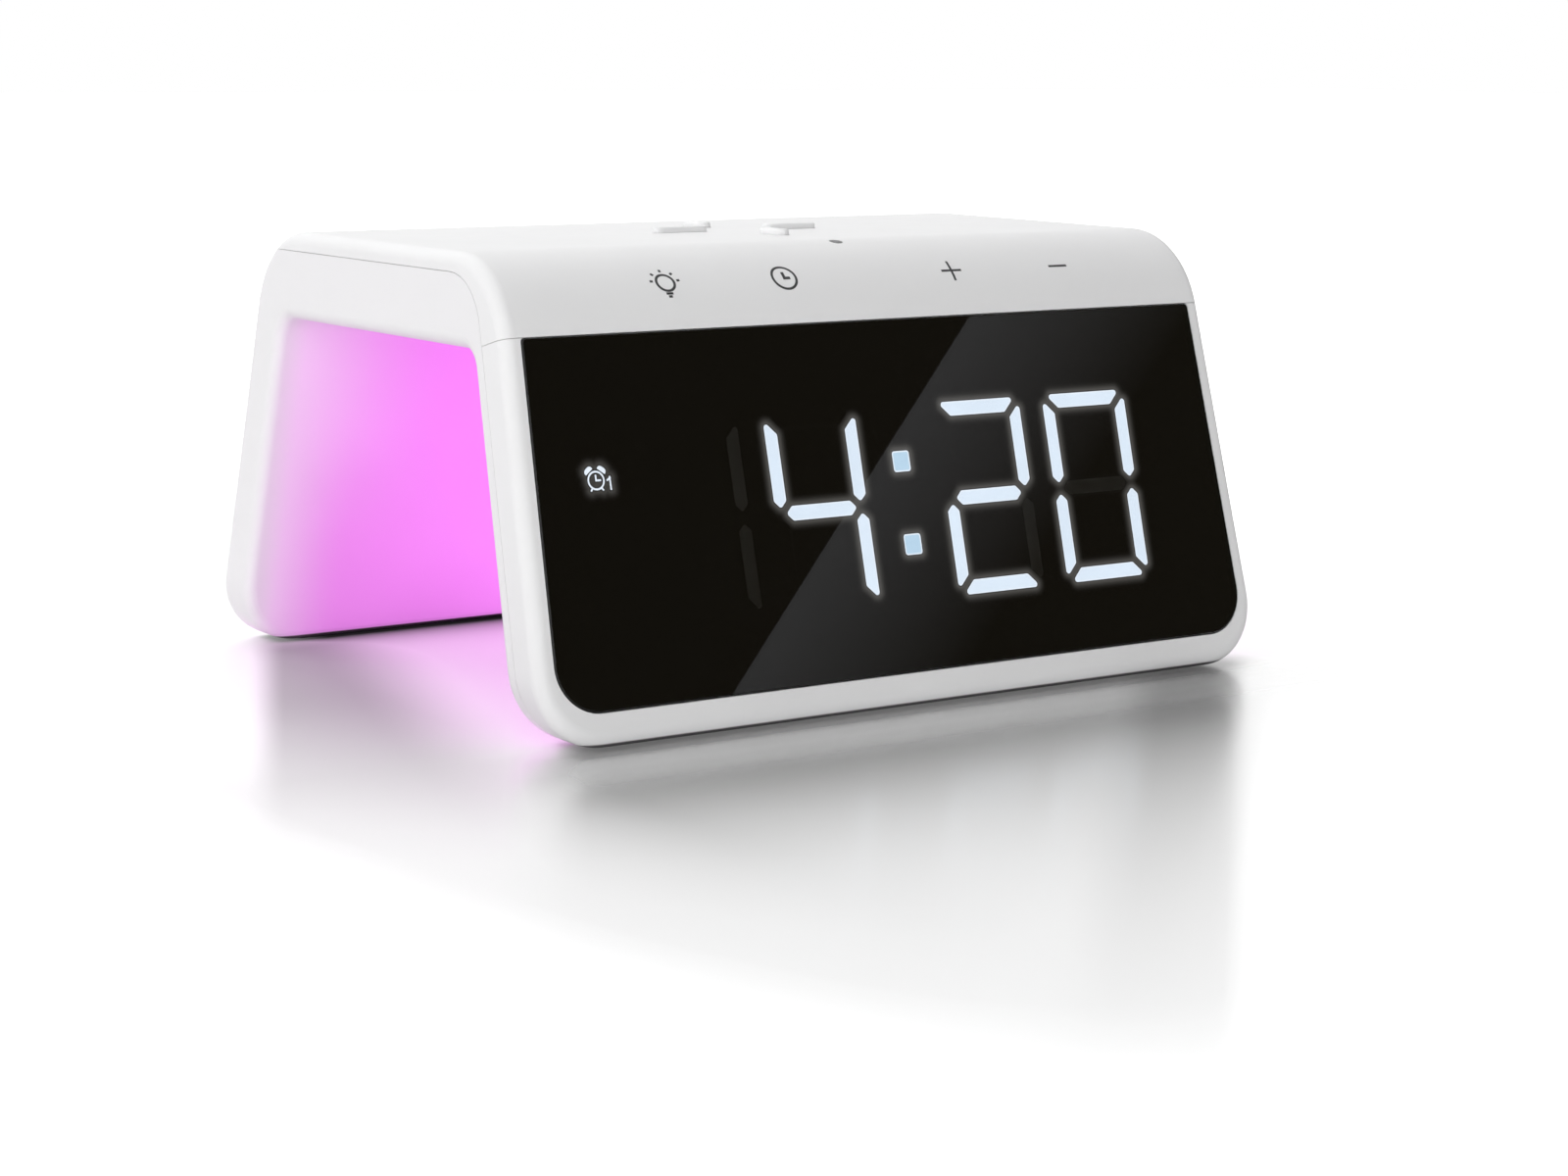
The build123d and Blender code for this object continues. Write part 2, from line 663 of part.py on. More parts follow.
def light_pipes(faces, depth):
    return gather([front.at(0, 0, lens_back) * inwards(face, depth) for face in faces])


def mark_window():
    """Window for the pane behind the small alarm mark."""
    reach = MARK_RADIUS + MARK_GAP + MARK_BELL_THICKNESS + MARK_PANE_MARGIN
    right = MARK_ONE_ACROSS + MARK_PANE_MARGIN
    face = plate(reach + right, 2 * reach, COLON_CORNER)
    return Pos(mark_across + (right - reach) / 2, mark_rise, 0) * face


def make_mark_pane():
    """Clear pane that carries the strokes of the alarm mark."""
    pane = inwards(mark_window(), SEGMENT_DEPTH - MARK_STROKE_DEPTH)
    return front.at(0, 0, lens_back + MARK_STROKE_DEPTH) * pane


def make_reflector():
    face = Pos(0, digit_rise, 0) * plate(reflector_width, reflector_height, BOARD_CORNER)
    reflector = inwards(face, REFLECTOR_DEPTH)
    for window in segment_faces(True) + segment_faces(False) + colon_faces() + [mark_window()]:
        reflector -= inwards(window, REFLECTOR_DEPTH)
    return front.at(0, 0, lens_back) * reflector


def make_display_board():
    board = front.at(0, digit_rise, display_board_front) * inwards(
        plate(display_board_width, display_board_height, BOARD_CORNER), BOARD_THICKNESS
    )
    for across, rise in display_bosses():
        board -= front.at(across, rise, display_board_front) * screw_hole(BOARD_THICKNESS)
    return board


def display_bosses():
    places = []
    across = reflector_width / 2 - DISPLAY_BOSS_INSET
    reach = reflector_height / 2 + DISPLAY_BOSS_OFFSET
    for side in (-1, 1):
        for end in (-1, 1):
            places.append((side * across, digit_rise + end * reach))
    return places


def make_segment_leds():
    leds = []
    for face in segment_faces(True) + segment_faces(False) + colon_faces() + [mark_window()]:
        middle = face.bounding_box().center()
        spot = front.at(middle.X, middle.Y, display_board_front - LED_HEIGHT)
        box = face.bounding_box().size
        turn = 0 if box.X > box.Y else 90
        leds.append(spot * Rot(0, 0, turn) * block(LED_LENGTH, LED_WIDTH, LED_HEIGHT))
    return gather(leds)


def make_display_screws():
    """Four screws through the display board into the frame's bosses, heads at the back."""
    length = BOARD_THICKNESS + SCREW_BITE
    places = [front.at(a, r, display_board_back) for a, r in display_bosses()]
    return gather([place * Rot(0, 180, 0) * screw(length) for place in places])


# Shells

def make_front_frame():
    """Bezel round the lens, with a plate behind it that the display block pokes through."""
    frame = envelope & front_zone(seam_rise - PANEL_GAP, SEAM_DEPTH)
    frame -= arch(ledge_back, WALL, WALL, FLOOR_WALL)
    pocket = inwards(lens_outline(FIT_GAP), lens_back + CUT_OVERRUN)
    frame -= front.at(0, 0, -CUT_OVERRUN) * pocket
    window = plate(reflector_width + 2 * FIT_GAP, reflector_height + 2 * FIT_GAP, BOARD_CORNER)
    frame -= front.at(0, digit_rise, 0) * inwards(window, ledge_back + CUT_OVERRUN)
    frame -= foot_strip(front, FIT_GAP)
    for across, rise in display_bosses():
        frame += front.at(across, rise, lens_back) * disc(BOSS_DIAMETER, display_board_front - lens_back)
        seat = front.at(across, rise, display_board_front - SCREW_BITE - SCREW_GAP)
        frame -= seat * screw_hole(SCREW_BITE)
    for side in (-1, 1):
        for share in FRAME_TONGUE_SHARES:
            frame += frame_tongue(side, LENS_BOTTOM + share * (lens_top - LENS_BOTTOM))
    return frame


def frame_tongue(side, rise):
    """Tongue on the frame's side wall that slides inside the light housing's end wall."""
    top_z = (rise + TONGUE_WIDTH / 2) * cos(front.lean)
    wall_face = half_width(top_z) - WALL
    root_start = SEAM_DEPTH - TONGUE_ROOT
    inner = wall_face - SLIDE_GAP - TONGUE_THICKNESS
    root_width = half_width(top_z) - WALL / 2 - inner
    tongue_depth = TONGUE_ROOT + PANEL_GAP + TONGUE_REACH
    root = front.at(side * (inner + root_width / 2), rise, root_start)
    blade = front.at(side * (inner + TONGUE_THICKNESS / 2), rise, root_start)
    solid = root * block(root_width, TONGUE_WIDTH, TONGUE_ROOT)
    return solid + blade * block(TONGUE_THICKNESS, TONGUE_WIDTH, tongue_depth)


def cover_tongue(side, place):
    """Tongue under the top cover's rim that slides inside the light housing's end wall."""
    inner = half_width(BODY_HEIGHT) - WALL - SLIDE_GAP - TONGUE_THICKNESS
    root_width = half_width(BODY_HEIGHT) - WALL / 2 - inner
    seam_level = BODY_HEIGHT - SEAM_DROP
    root = Pos(side * (inner + root_width / 2), place, cover_underside)
    blade = Pos(side * (inner + TONGUE_THICKNESS / 2), place, cover_underside)
    solid = root * block(root_width, TONGUE_WIDTH, cover_underside - seam_level)
    reach = cover_underside - seam_level + TONGUE_ROOT
    return solid + blade * block(TONGUE_THICKNESS, TONGUE_WIDTH, reach)


def bend_at(across, angle, radius):
    """Place on the front bend, facing outwards, at an angle round from the slab."""
    turn = radians(angle)
    outward = (0, -sin(turn), cos(turn))
    plane = Plane(origin=bend_centre + Vector(across, 0, 0), x_dir=(1, 0, 0), z_dir=outward)
    return plane.location * Pos(0, 0, radius)


def touch_places():
    return {
        "light": TOUCH_ROW_SHIFT - touch_outer,
        "clock": TOUCH_ROW_SHIFT - TOUCH_INNER,
        "plus": TOUCH_ROW_SHIFT + TOUCH_INNER,
        "minus": TOUCH_ROW_SHIFT + touch_outer,
    }


def touch_posts():
    return [TOUCH_ROW_SHIFT + step * touch_post_spread for step in (-1, 0, 1)]


def tray_ears():
    reach = tray_size / 2
    return [(x, y) for x in (-reach, reach) for y in (-reach, reach)]


def grip_places():
    side = GRIP_SIDE_NEAR + GRIP_SIDE_LENGTH / 2
    end = GRIP_END_NEAR + GRIP_END_LENGTH / 2
    return {
        "left": ((-side, 0), 0, GRIP_SIDE_LENGTH),
        "right": ((side, 0), 0, GRIP_SIDE_LENGTH),
        "front": ((0, -end), 90, GRIP_END_LENGTH),
        "rear": ((0, end), 90, GRIP_END_LENGTH),
    }


def grip_bar(name, grow):
    """Raised bar set into the charging surface; grown, it is the seat cut for it."""
    (x, y), turn, length = grip_places()[name]
    width = GRIP_WIDTH + 2 * grow
    face = plate(length + 2 * grow, width, width / 2 - grow)
    base = Pos(x, y, BODY_HEIGHT - GRIP_SEAT) * Rot(0, 0, turn)
    bar = base * upwards(face, GRIP_SEAT + GRIP_HEIGHT)
    if grow > 0:
        return bar
    return fillet(bar.edges().group_by(Axis.Z)[-1], GRIP_ROUND)


def make_top_cover():
    cover = (envelope & top_zone(0)) - cavity
    for name in grip_places():
        cover -= grip_bar(name, FIT_GAP)
    bore = INDICATOR_DIAMETER + 2 * FIT_GAP
    drill = bend_at(INDICATOR_ACROSS, INDICATOR_ANGLE, BEND_RADIUS + CUT_OVERRUN)
    cover -= drill * disc(bore, WALL + CUT_OVERRUN + CUT_OVERRUN)
    for x, y in tray_ears():
        boss_top = cover_underside + WALL / 2
        tray_top = tray_bottom + TRAY_THICKNESS
        cover += Pos(x, y, boss_top) * disc(BOSS_DIAMETER, boss_top - tray_top)
        cover -= Pos(x, y, tray_top + SCREW_BITE + SCREW_GAP) * screw_hole(SCREW_BITE)
    for across in touch_posts():
        post_top = bend_inside + WALL / 2
        cover += bend_at(across, TOUCH_ANGLE, post_top) * disc(BOSS_DIAMETER, post_top - touch_board_outer)
        seat = bend_at(across, TOUCH_ANGLE, touch_board_outer + SCREW_BITE + SCREW_GAP)
        cover -= seat * screw_hole(SCREW_BITE)
    for side in (-1, 1):
        for share in COVER_TONGUE_SHARES:
            place = bend_centre.Y + share * (rear_bend_middle - bend_centre.Y)
            cover += cover_tongue(side, place)
    return cover


def rear_outline(grow, corner):
    """Outline of the rear cover, grown or shrunk all round, with its own corner radius."""
    face = plate(rear_cover_width + 2 * grow, rear_cover_height + 2 * grow, corner)
    return Pos(0, REAR_COVER_BOTTOM + rear_cover_height / 2, 0) * face


def rear_screw_places():
    x = rear_cover_width / 2 - REAR_SCREW_MARGIN
    low = REAR_COVER_BOTTOM + REAR_SCREW_MARGIN
    high = REAR_COVER_BOTTOM + rear_cover_height - REAR_SCREW_MARGIN
    return [(side * x, rise) for side in (-1, 1) for rise in (low, high)]


def main_posts():
    x = main_board_width / 2 - MAIN_POST_MARGIN
    ys = (main_board_front + MAIN_POST_MARGIN, main_board_rear - MAIN_POST_MARGIN)
    return [(side * x, y) for side in (-1, 1) for y in ys]


def make_light_housing():
    """Milky inner arch with the end walls, the rear leg and the land for the rear cover."""
    housing = envelope - top_zone(PANEL_GAP) - front_zone(seam_rise, SEAM_DEPTH + PANEL_GAP) - cavity
    land_back = REAR_COVER_THICKNESS + REAR_LAND_THICKNESS
    land = inwards(rear_outline(REAR_LAND_MARGIN, REAR_COVER_CORNER), REAR_LAND_THICKNESS)
    housing += rear.at(0, 0, REAR_COVER_THICKNESS) * land
    recess = rear_outline(PANEL_GAP, REAR_COVER_CORNER + PANEL_GAP)
    housing -= rear.at(0, 0, -CUT_OVERRUN) * inwards(recess, REAR_COVER_THICKNESS + CUT_OVERRUN)
    window = inwards(rear_outline(-REAR_LAND_WIDTH, REAR_WINDOW_CORNER), land_back + FIT_GAP)
    housing -= rear.at(0, 0, 0) * window
    for across, rise in rear_screw_places():
        boss = rear.at(across, rise, REAR_COVER_THICKNESS)
        housing += boss * disc(BOSS_DIAMETER, REAR_LAND_THICKNESS + REAR_BOSS_REACH)
        housing -= boss * screw_hole(SCREW_BITE)
    for leg in (front, rear):
        housing -= foot_strip(leg, FIT_GAP)
    for x, y in main_posts():
        root = WALL / 2
        housing += Pos(x, y, main_board_bottom) * disc(MAIN_POST_DIAMETER, post_height + root)
        housing -= Pos(x, y, main_board_bottom) * screw_hole(SCREW_BITE)
    return housing


def usb_outline(grow):
    width = USB_WIDTH + 2 * grow
    height = USB_HEIGHT + 2 * grow
    return plate(width, height, height / 2)


cell_top = CAP_THICKNESS + CAP_SKIRT_HEIGHT + SEAL_THICKNESS + SLIDE_GAP
contact_top = cell_top + CELL_THICKNESS
tub_floor = contact_top + CONTACT_THICKNESS
cell_pocket = CELL_DIAMETER + 2 * CELL_POCKET_GAP
speaker_front = REAR_COVER_THICKNESS + GASKET_THICKNESS
speaker_frame_back = speaker_front + SPEAKER_FRAME_HEIGHT


def sector(diameter, bore, spread, middle, thickness):
    """Ring cut down to a wedge about a direction, behind the plane that it is placed on."""
    reach = diameter
    half = radians(spread / 2)
    far = reach * cos(half)
    wedge = outline([(0, 0), (far, -reach * sin(half)), (far, reach * sin(half))], [0] * 3)
    return Rot(0, 0, middle) * (ring(diameter, bore, thickness) & inwards(wedge, thickness))


def sound_holes():
    holes = [(0, 0)]
    for row in range(1, SOUND_RINGS + 1):
        count = SOUND_HOLES_PER_RING * row
        for i in range(count):
            turn = 2 * pi * i / count
            holes.append((row * SOUND_RING_PITCH * cos(turn), row * SOUND_RING_PITCH * sin(turn)))
    return holes


def make_rear_cover():
    cover = inwards(rear_outline(0, REAR_COVER_CORNER), REAR_COVER_THICKNESS)
    under = -REAR_COVER_THICKNESS
    cell = Pos(REAR_SPREAD, rear_cover_middle, 0)
    speaker = Pos(-REAR_SPREAD, rear_cover_middle, 0)
    inlet = Pos(INLET_ACROSS, inlet_rise, 0)
    cover += cell * Pos(0, 0, under) * disc(tub_diameter, tub_floor + TUB_FLOOR - REAR_COVER_THICKNESS)
    fence_bore = SPEAKER_DIAMETER + 2 * FIT_GAP
    fence = ring(speaker_fence_diameter, fence_bore, SPEAKER_FENCE_HEIGHT)
    cover += speaker * Pos(0, 0, under) * fence
    slot_length = SPEAKER_TAB_REACH + 2 * SPEAKER_FENCE
    tab_slot = block(SPEAKER_TAB_WIDTH + 2 * FIT_GAP, slot_length, SPEAKER_FENCE_HEIGHT)
    cover -= speaker * Pos(0, SPEAKER_DIAMETER / 2 + SPEAKER_FENCE, under) * tab_slot
    for side in (-1, 1):
        boss = inlet * Pos(side * POWER_BOSS_SPREAD, 0, under)
        cover += boss * disc(BOSS_DIAMETER, POWER_BOARD_DEPTH - REAR_COVER_THICKNESS)
        bottom = inlet * Pos(side * POWER_BOSS_SPREAD, 0, SCREW_BITE + SCREW_GAP - POWER_BOARD_DEPTH)
        cover -= bottom * screw_hole(SCREW_BITE)
    through = REAR_COVER_THICKNESS + 2 * CUT_OVERRUN
    cover -= inlet * Pos(0, 0, CUT_OVERRUN) * inwards(usb_outline(FIT_GAP), through)
    for x, y in sound_holes():
        cover -= speaker * Pos(x, y, CUT_OVERRUN) * disc(SOUND_HOLE, through)
    cap_bore = cap_diameter + 2 * CAP_RUNNING_GAP
    cover -= cell * Pos(0, 0, CUT_OVERRUN) * disc(cap_bore, REAR_COVER_THICKNESS + CUT_OVERRUN)
    cover -= cell * Pos(0, 0, under) * disc(tab_sweep, cell_top - REAR_COVER_THICKNESS)
    cover -= cell * Pos(0, 0, under) * disc(cell_pocket, tub_floor - REAR_COVER_THICKNESS)
    notch_angle = CAP_TAB_ANGLE + CAP_NOTCH_SPARE
    for turn in (CAP_TURN, CAP_TURN + 180):
        notch = sector(tab_sweep, cap_skirt_diameter, notch_angle, turn, REAR_COVER_THICKNESS + CUT_OVERRUN)
        cover -= cell * Pos(0, 0, CUT_OVERRUN) * notch
    tail_slot = block(CONTACT_WIDTH + 2 * FIT_GAP, tub_diameter, CONTACT_THICKNESS + FIT_GAP)
    cover -= cell * Pos(0, tub_diameter / 2, FIT_GAP - contact_top) * tail_slot
    side_height = SIDE_CONTACT_HEIGHT + 2 * FIT_GAP
    side_room = block(SIDE_CONTACT_WIDTH + 2 * FIT_GAP, 2 * CONTACT_THICKNESS, side_height)
    cover -= cell * Pos(0, -CELL_DIAMETER / 2 - CONTACT_THICKNESS / 2, FIT_GAP - cell_top) * side_room
    for across, rise in rear_screw_places():
        cover -= Pos(across, rise, 0) * disc(SCREW_HEAD + 2 * FIT_GAP, SCREW_HEAD_HEIGHT)
        cover -= Pos(across, rise, 0) * screw_hole(REAR_COVER_THICKNESS)
    return rear.at(0, 0, 0) * cover


# Rear leg contents

def make_usb_shell():
    """Oval metal shell with a closed base on the power board."""
    height = POWER_BOARD_DEPTH - USB_INSET
    shell = inwards(usb_outline(0), height)
    bore = inwards(usb_outline(-USB_WALL), height - USB_TONGUE_BASE + CUT_OVERRUN)
    return rear.at(INLET_ACROSS, inlet_rise, USB_INSET) * (shell - Pos(0, 0, CUT_OVERRUN) * bore)


def make_usb_tongue():
    length = POWER_BOARD_DEPTH - USB_INSET - USB_TONGUE_BASE - USB_TONGUE_SETBACK
    start = USB_INSET + USB_TONGUE_SETBACK
    return rear.at(INLET_ACROSS, inlet_rise, start) * block(USB_TONGUE_WIDTH, USB_TONGUE_THICKNESS, length)


def make_power_board():
    board = inwards(plate(POWER_BOARD_WIDTH, POWER_BOARD_HEIGHT, BOARD_CORNER), BOARD_THICKNESS)
    for side in (-1, 1):
        board -= Pos(side * POWER_BOSS_SPREAD, 0, 0) * screw_hole(BOARD_THICKNESS)
    return rear.at(INLET_ACROSS, inlet_rise, POWER_BOARD_DEPTH) * board


def make_power_board_screws():
    depth = POWER_BOARD_DEPTH + BOARD_THICKNESS
    length = BOARD_THICKNESS + SCREW_BITE
    places = [INLET_ACROSS + side * POWER_BOSS_SPREAD for side in (-1, 1)]
    return gather([rear.at(a, inlet_rise, depth) * Rot(0, 180, 0) * screw(length) for a in places])


def make_rear_cover_screws():
    length = REAR_COVER_THICKNESS - SCREW_HEAD_HEIGHT + SCREW_BITE
    return gather([rear.at(a, r, SCREW_HEAD_HEIGHT) * screw(length) for a, r in rear_screw_places()])


def speaker_at(depth):
    return rear.at(-REAR_SPREAD, rear_cover_middle, depth)


def make_speaker_gasket():
    bore = SPEAKER_DIAMETER - 2 * SPEAKER_RIM
    return speaker_at(REAR_COVER_THICKNESS) * ring(SPEAKER_DIAMETER, bore, GASKET_THICKNESS)


def make_speaker_frame():
    """Basket with a rim, a back and a tab for its leads."""
    bowl = disc(SPEAKER_DIAMETER, SPEAKER_FRAME_HEIGHT)
    bowl -= disc(SPEAKER_DIAMETER - 2 * SPEAKER_RIM, SPEAKER_FRAME_HEIGHT - SPEAKER_BACK)
    tab_middle = SPEAKER_DIAMETER / 2 + (SPEAKER_TAB_REACH - SPEAKER_RIM) / 2
    tab_level = SPEAKER_BACK - SPEAKER_FRAME_HEIGHT
    tab = block(SPEAKER_TAB_WIDTH, SPEAKER_TAB_REACH + SPEAKER_RIM, SPEAKER_BACK)
    return speaker_at(speaker_front) * (bowl + Pos(0, tab_middle, tab_level) * tab)


def make_speaker_cone():
    """Membrane across the basket's mouth, domed in the middle, with a coil former behind."""
    mouth = SPEAKER_DIAMETER - 2 * SPEAKER_RIM - 2 * FIT_GAP
    sheet = disc(mouth, SPEAKER_CONE_THICKNESS)
    dome = upwards(Circle(SPEAKER_DOME / 2).face(), SPEAKER_DOME_HEIGHT)
    former_height = SPEAKER_FRAME_HEIGHT - SPEAKER_BACK
    former = ring(SPEAKER_DOME, SPEAKER_DOME - 2 * SPEAKER_CONE_THICKNESS, former_height)
    return speaker_at(speaker_front) * (sheet + dome + former)


def make_speaker_magnet():
    magnet = disc(SPEAKER_MAGNET, SPEAKER_MAGNET_HEIGHT)
    return speaker_at(speaker_frame_back) * magnet


def cell_at(depth):
    return rear.at(REAR_SPREAD, rear_cover_middle, depth)


def make_battery_cap():
    """Disc with a skirt, two locking tabs and a slot for a coin."""
    cap = disc(cap_diameter, CAP_THICKNESS)
    cap += Pos(0, 0, -CAP_THICKNESS) * disc(cap_skirt_diameter, CAP_SKIRT_HEIGHT)
    tab_top = CAP_THICKNESS + CAP_SKIRT_HEIGHT - CAP_TAB_HEIGHT
    tab_diameter = cap_skirt_diameter + 2 * CAP_TAB_REACH
    for turn in (0, 180):
        tab = sector(tab_diameter, cap_skirt_diameter / 2, CAP_TAB_ANGLE, turn, CAP_TAB_HEIGHT)
        cap += Pos(0, 0, -tab_top) * tab
    cap -= block(cap_diameter - 2 * COIN_SLOT_MARGIN, COIN_SLOT_WIDTH, COIN_SLOT_DEPTH)
    return cell_at(0) * cap


def make_battery_cap_seal():
    bore = CELL_DIAMETER - 2 * SEAL_WIDTH
    return cell_at(CAP_THICKNESS + CAP_SKIRT_HEIGHT) * ring(CELL_DIAMETER, bore, SEAL_THICKNESS)


def make_backup_cell():
    cell = disc(CELL_DIAMETER, CELL_THICKNESS)
    cell = chamfer(cell.edges().group_by(Axis.Z)[-1], CELL_EDGE)
    return cell_at(cell_top) * cell


def make_cell_contact():
    """Leaf under the cell, with a tail out through the tub's wall."""
    top_end = tub_diameter / 2 + CONTACT_TAIL
    length = top_end + CONTACT_LENGTH
    leaf = Pos(0, top_end - length / 2, 0) * block(CONTACT_WIDTH, length, CONTACT_THICKNESS)
    return cell_at(contact_top) * leaf


def make_cell_side_contact():
    strip = block(SIDE_CONTACT_WIDTH, CONTACT_THICKNESS, SIDE_CONTACT_HEIGHT)
    return cell_at(cell_top) * Pos(0, -CELL_DIAMETER / 2 - CONTACT_THICKNESS / 2, 0) * strip


# Slab contents

def make_coil_tray():
    tray = Pos(0, 0, tray_bottom) * upwards(plate(tray_size, tray_size, FERRITE_CORNER), TRAY_THICKNESS)
    for x, y in tray_ears():
        tray += Pos(x, y, ferrite_bottom) * disc(TRAY_EAR, TRAY_THICKNESS)
    for x, y in tray_ears():
        tray -= Pos(x, y, ferrite_bottom) * screw_hole(TRAY_THICKNESS)
    for x, y in lead_places():
        tray -= Pos(x, y, ferrite_bottom) * disc(LEAD_DIAMETER + 2 * LEAD_HOLE_GAP, TRAY_THICKNESS)
    return tray


def lead_places():
    y = (COIL_DIAMETER + COIL_BORE) / 4
    return [(-LEAD_SPREAD / 2, y), (LEAD_SPREAD / 2, y)]


def make_ferrite():
    square = plate(ferrite_size, ferrite_size, FERRITE_CORNER)
    sheet = Pos(0, 0, ferrite_bottom) * upwards(square, FERRITE_THICKNESS)
    for x, y in lead_places():
        sheet -= Pos(x, y, coil_bottom) * disc(LEAD_DIAMETER + 2 * LEAD_HOLE_GAP, FERRITE_THICKNESS)
    return sheet


def make_coil():
    return Pos(0, 0, coil_bottom + COIL_THICKNESS) * ring(COIL_DIAMETER, COIL_BORE, COIL_THICKNESS)


def make_coil_leads():
    length = coil_bottom - main_board_top
    return gather([Pos(x, y, coil_bottom) * disc(LEAD_DIAMETER, length) for x, y in lead_places()])


def make_coil_tray_screws():
    length = TRAY_THICKNESS + SCREW_BITE
    return gather([Pos(x, y, tray_bottom) * Rot(0, 180, 0) * screw(length) for x, y in tray_ears()])


def make_main_board():
    depth = main_board_rear - main_board_front
    middle = (main_board_rear + main_board_front) / 2
    sheet = upwards(plate(main_board_width, depth, BOARD_CORNER), BOARD_THICKNESS)
    board = Pos(0, middle, main_board_bottom) * sheet
    for x, y in main_posts():
        board -= Pos(x, y, main_board_top) * screw_hole(BOARD_THICKNESS)
    return board


def make_board_screws():
    length = BOARD_THICKNESS + SCREW_BITE
    return gather([Pos(x, y, main_board_top) * screw(length) for x, y in main_posts()])


def on_board(x, y, height):
    """Place for a part that stands on the main board."""
    return Pos(x, y, main_board_top + height)


def make_inductors():
    core = inwards(plate(INDUCTOR_SIZE, INDUCTOR_SIZE, INDUCTOR_CORNER), INDUCTOR_HEIGHT)
    spots = [(side_parts_across, step * SIDE_PARTS_PITCH) for step in (-1, 1)]
    return gather([on_board(x, y, INDUCTOR_HEIGHT) * core for x, y in spots])


def make_capacitors():
    can = disc(CAPACITOR_DIAMETER, CAPACITOR_HEIGHT)
    spots = [(-side_parts_across, step * SIDE_PARTS_PITCH) for step in (-1, 0, 1)]
    return gather([on_board(x, y, CAPACITOR_HEIGHT) * can for x, y in spots])


def make_control_chip():
    return on_board(0, 0, CHIP_HEIGHT) * block(CHIP_SIZE, CHIP_SIZE, CHIP_HEIGHT)


def make_mood_leds():
    led = block(MOOD_LED_SIZE, MOOD_LED_SIZE, MOOD_LED_HEIGHT)
    start = -mood_led_pitch * (MOOD_LED_COUNT - 1) / 2
    across = [start + i * mood_led_pitch for i in range(MOOD_LED_COUNT)]
    spots = [(x, side * MOOD_LED_ROW) for x in across for side in (-1, 1)]
    return gather([Pos(x, y, main_board_bottom) * led for x, y in spots])


def indicator_spot():
    """Where the indicator's axis meets the main board's parts."""
    turn = radians(INDICATOR_ANGLE)
    radius = (main_board_top + INDICATOR_LED_HEIGHT - bend_centre.Z) / cos(turn)
    return radius, bend_centre.Y - radius * sin(turn)


def make_indicator_led():
    radius, y = indicator_spot()
    return on_board(INDICATOR_ACROSS, y, INDICATOR_LED_HEIGHT) * block(
        INDICATOR_LED_LENGTH, INDICATOR_LED_WIDTH, INDICATOR_LED_HEIGHT
    )


def make_indicator_pipe():
    """Light pipe through the cover, flush with the bend, with a flange under the wall."""
    radius, y = indicator_spot()
    bottom = radius + INDICATOR_LED_GAP + INDICATOR_DIAMETER / 2 * tan(radians(INDICATOR_ANGLE))
    pin = disc(INDICATOR_DIAMETER, BEND_RADIUS - bottom)
    flange_top = sqrt(bend_inside**2 - (INDICATOR_FLANGE / 2) ** 2) - FIT_GAP
    flange = Pos(0, 0, flange_top - BEND_RADIUS) * disc(INDICATOR_FLANGE, INDICATOR_FLANGE_HEIGHT)
    return bend_at(INDICATOR_ACROSS, INDICATOR_ANGLE, BEND_RADIUS) * (pin + flange) & envelope


# Touch keys

def make_touch_board():
    board = inwards(plate(touch_board_length, TOUCH_BOARD_HEIGHT, BOARD_CORNER), TOUCH_BOARD_THICKNESS)
    board = bend_at(TOUCH_ROW_SHIFT, TOUCH_ANGLE, touch_board_outer) * board
    for across in touch_posts():
        board -= bend_at(across, TOUCH_ANGLE, touch_board_outer) * screw_hole(TOUCH_BOARD_THICKNESS)
    return board


def make_touch_screws():
    radius = touch_board_outer - TOUCH_BOARD_THICKNESS
    length = TOUCH_BOARD_THICKNESS + SCREW_BITE
    places = [bend_at(a, TOUCH_ANGLE, radius) for a in touch_posts()]
    return gather([place * Rot(0, 180, 0) * screw(length) for place in places])


def make_touch_pad(across):
    """Foam electrode that fills the space from the board up to the bend's inside."""
    pad = bend_at(across, TOUCH_ANGLE, bend_inside) * disc(TOUCH_PAD_DIAMETER, TOUCH_PAD_HEIGHT)
    barrel_place = Location(bend_centre) * Rot(0, 90, 0)
    return pad & barrel_place * Cylinder(bend_inside - FIT_GAP, BODY_WIDTH)


# Ribbons and connectors

def leg_ribbon(leg, rise, depth, end, across, width):
    """Flat cable from a place inside a leg, round the tunnel's corner, to the main board."""
    half = RIBBON_THICKNESS / 2
    sides = []
    for offset in (-half, half):
        low = leg.section_point(rise, depth + offset)
        level = ribbon_level - offset
        sides.append([low, (leg.y_at(depth + offset, level), level), (end, level)])
    points = sides[0] + sides[1][::-1]
    radii = [0, RIBBON_RADIUS + half, 0, 0, RIBBON_RADIUS - half, 0]
    section = outline(points, radii)
    return Pos(across, 0, 0) * extrude(Plane.YZ.location * section, amount=width / 2, both=True)


ribbon_front_end = main_board_front + CONNECTOR_MARGIN
ribbon_rear_end = main_board_rear - CONNECTOR_MARGIN
speaker_tab_depth = speaker_frame_back - SPEAKER_BACK / 2
speaker_ribbon_rise = rear_cover_middle + SPEAKER_DIAMETER / 2 + SPEAKER_TAB_REACH
cell_ribbon_rise = rear_cover_middle + tub_diameter / 2 + CONTACT_TAIL


def make_display_ribbon():
    rise = display_connector_rise + CONNECTOR_LENGTH / 2
    return leg_ribbon(
        front, rise, RIBBON_DEPTH, ribbon_front_end, DISPLAY_RIBBON_ACROSS, DISPLAY_RIBBON_WIDTH
    )


def make_power_ribbon():
    rise = inlet_rise + POWER_BOARD_HEIGHT / 2
    depth = POWER_BOARD_DEPTH + BOARD_THICKNESS / 2
    return leg_ribbon(rear, rise, depth, ribbon_rear_end, -INLET_ACROSS, POWER_RIBBON_WIDTH)


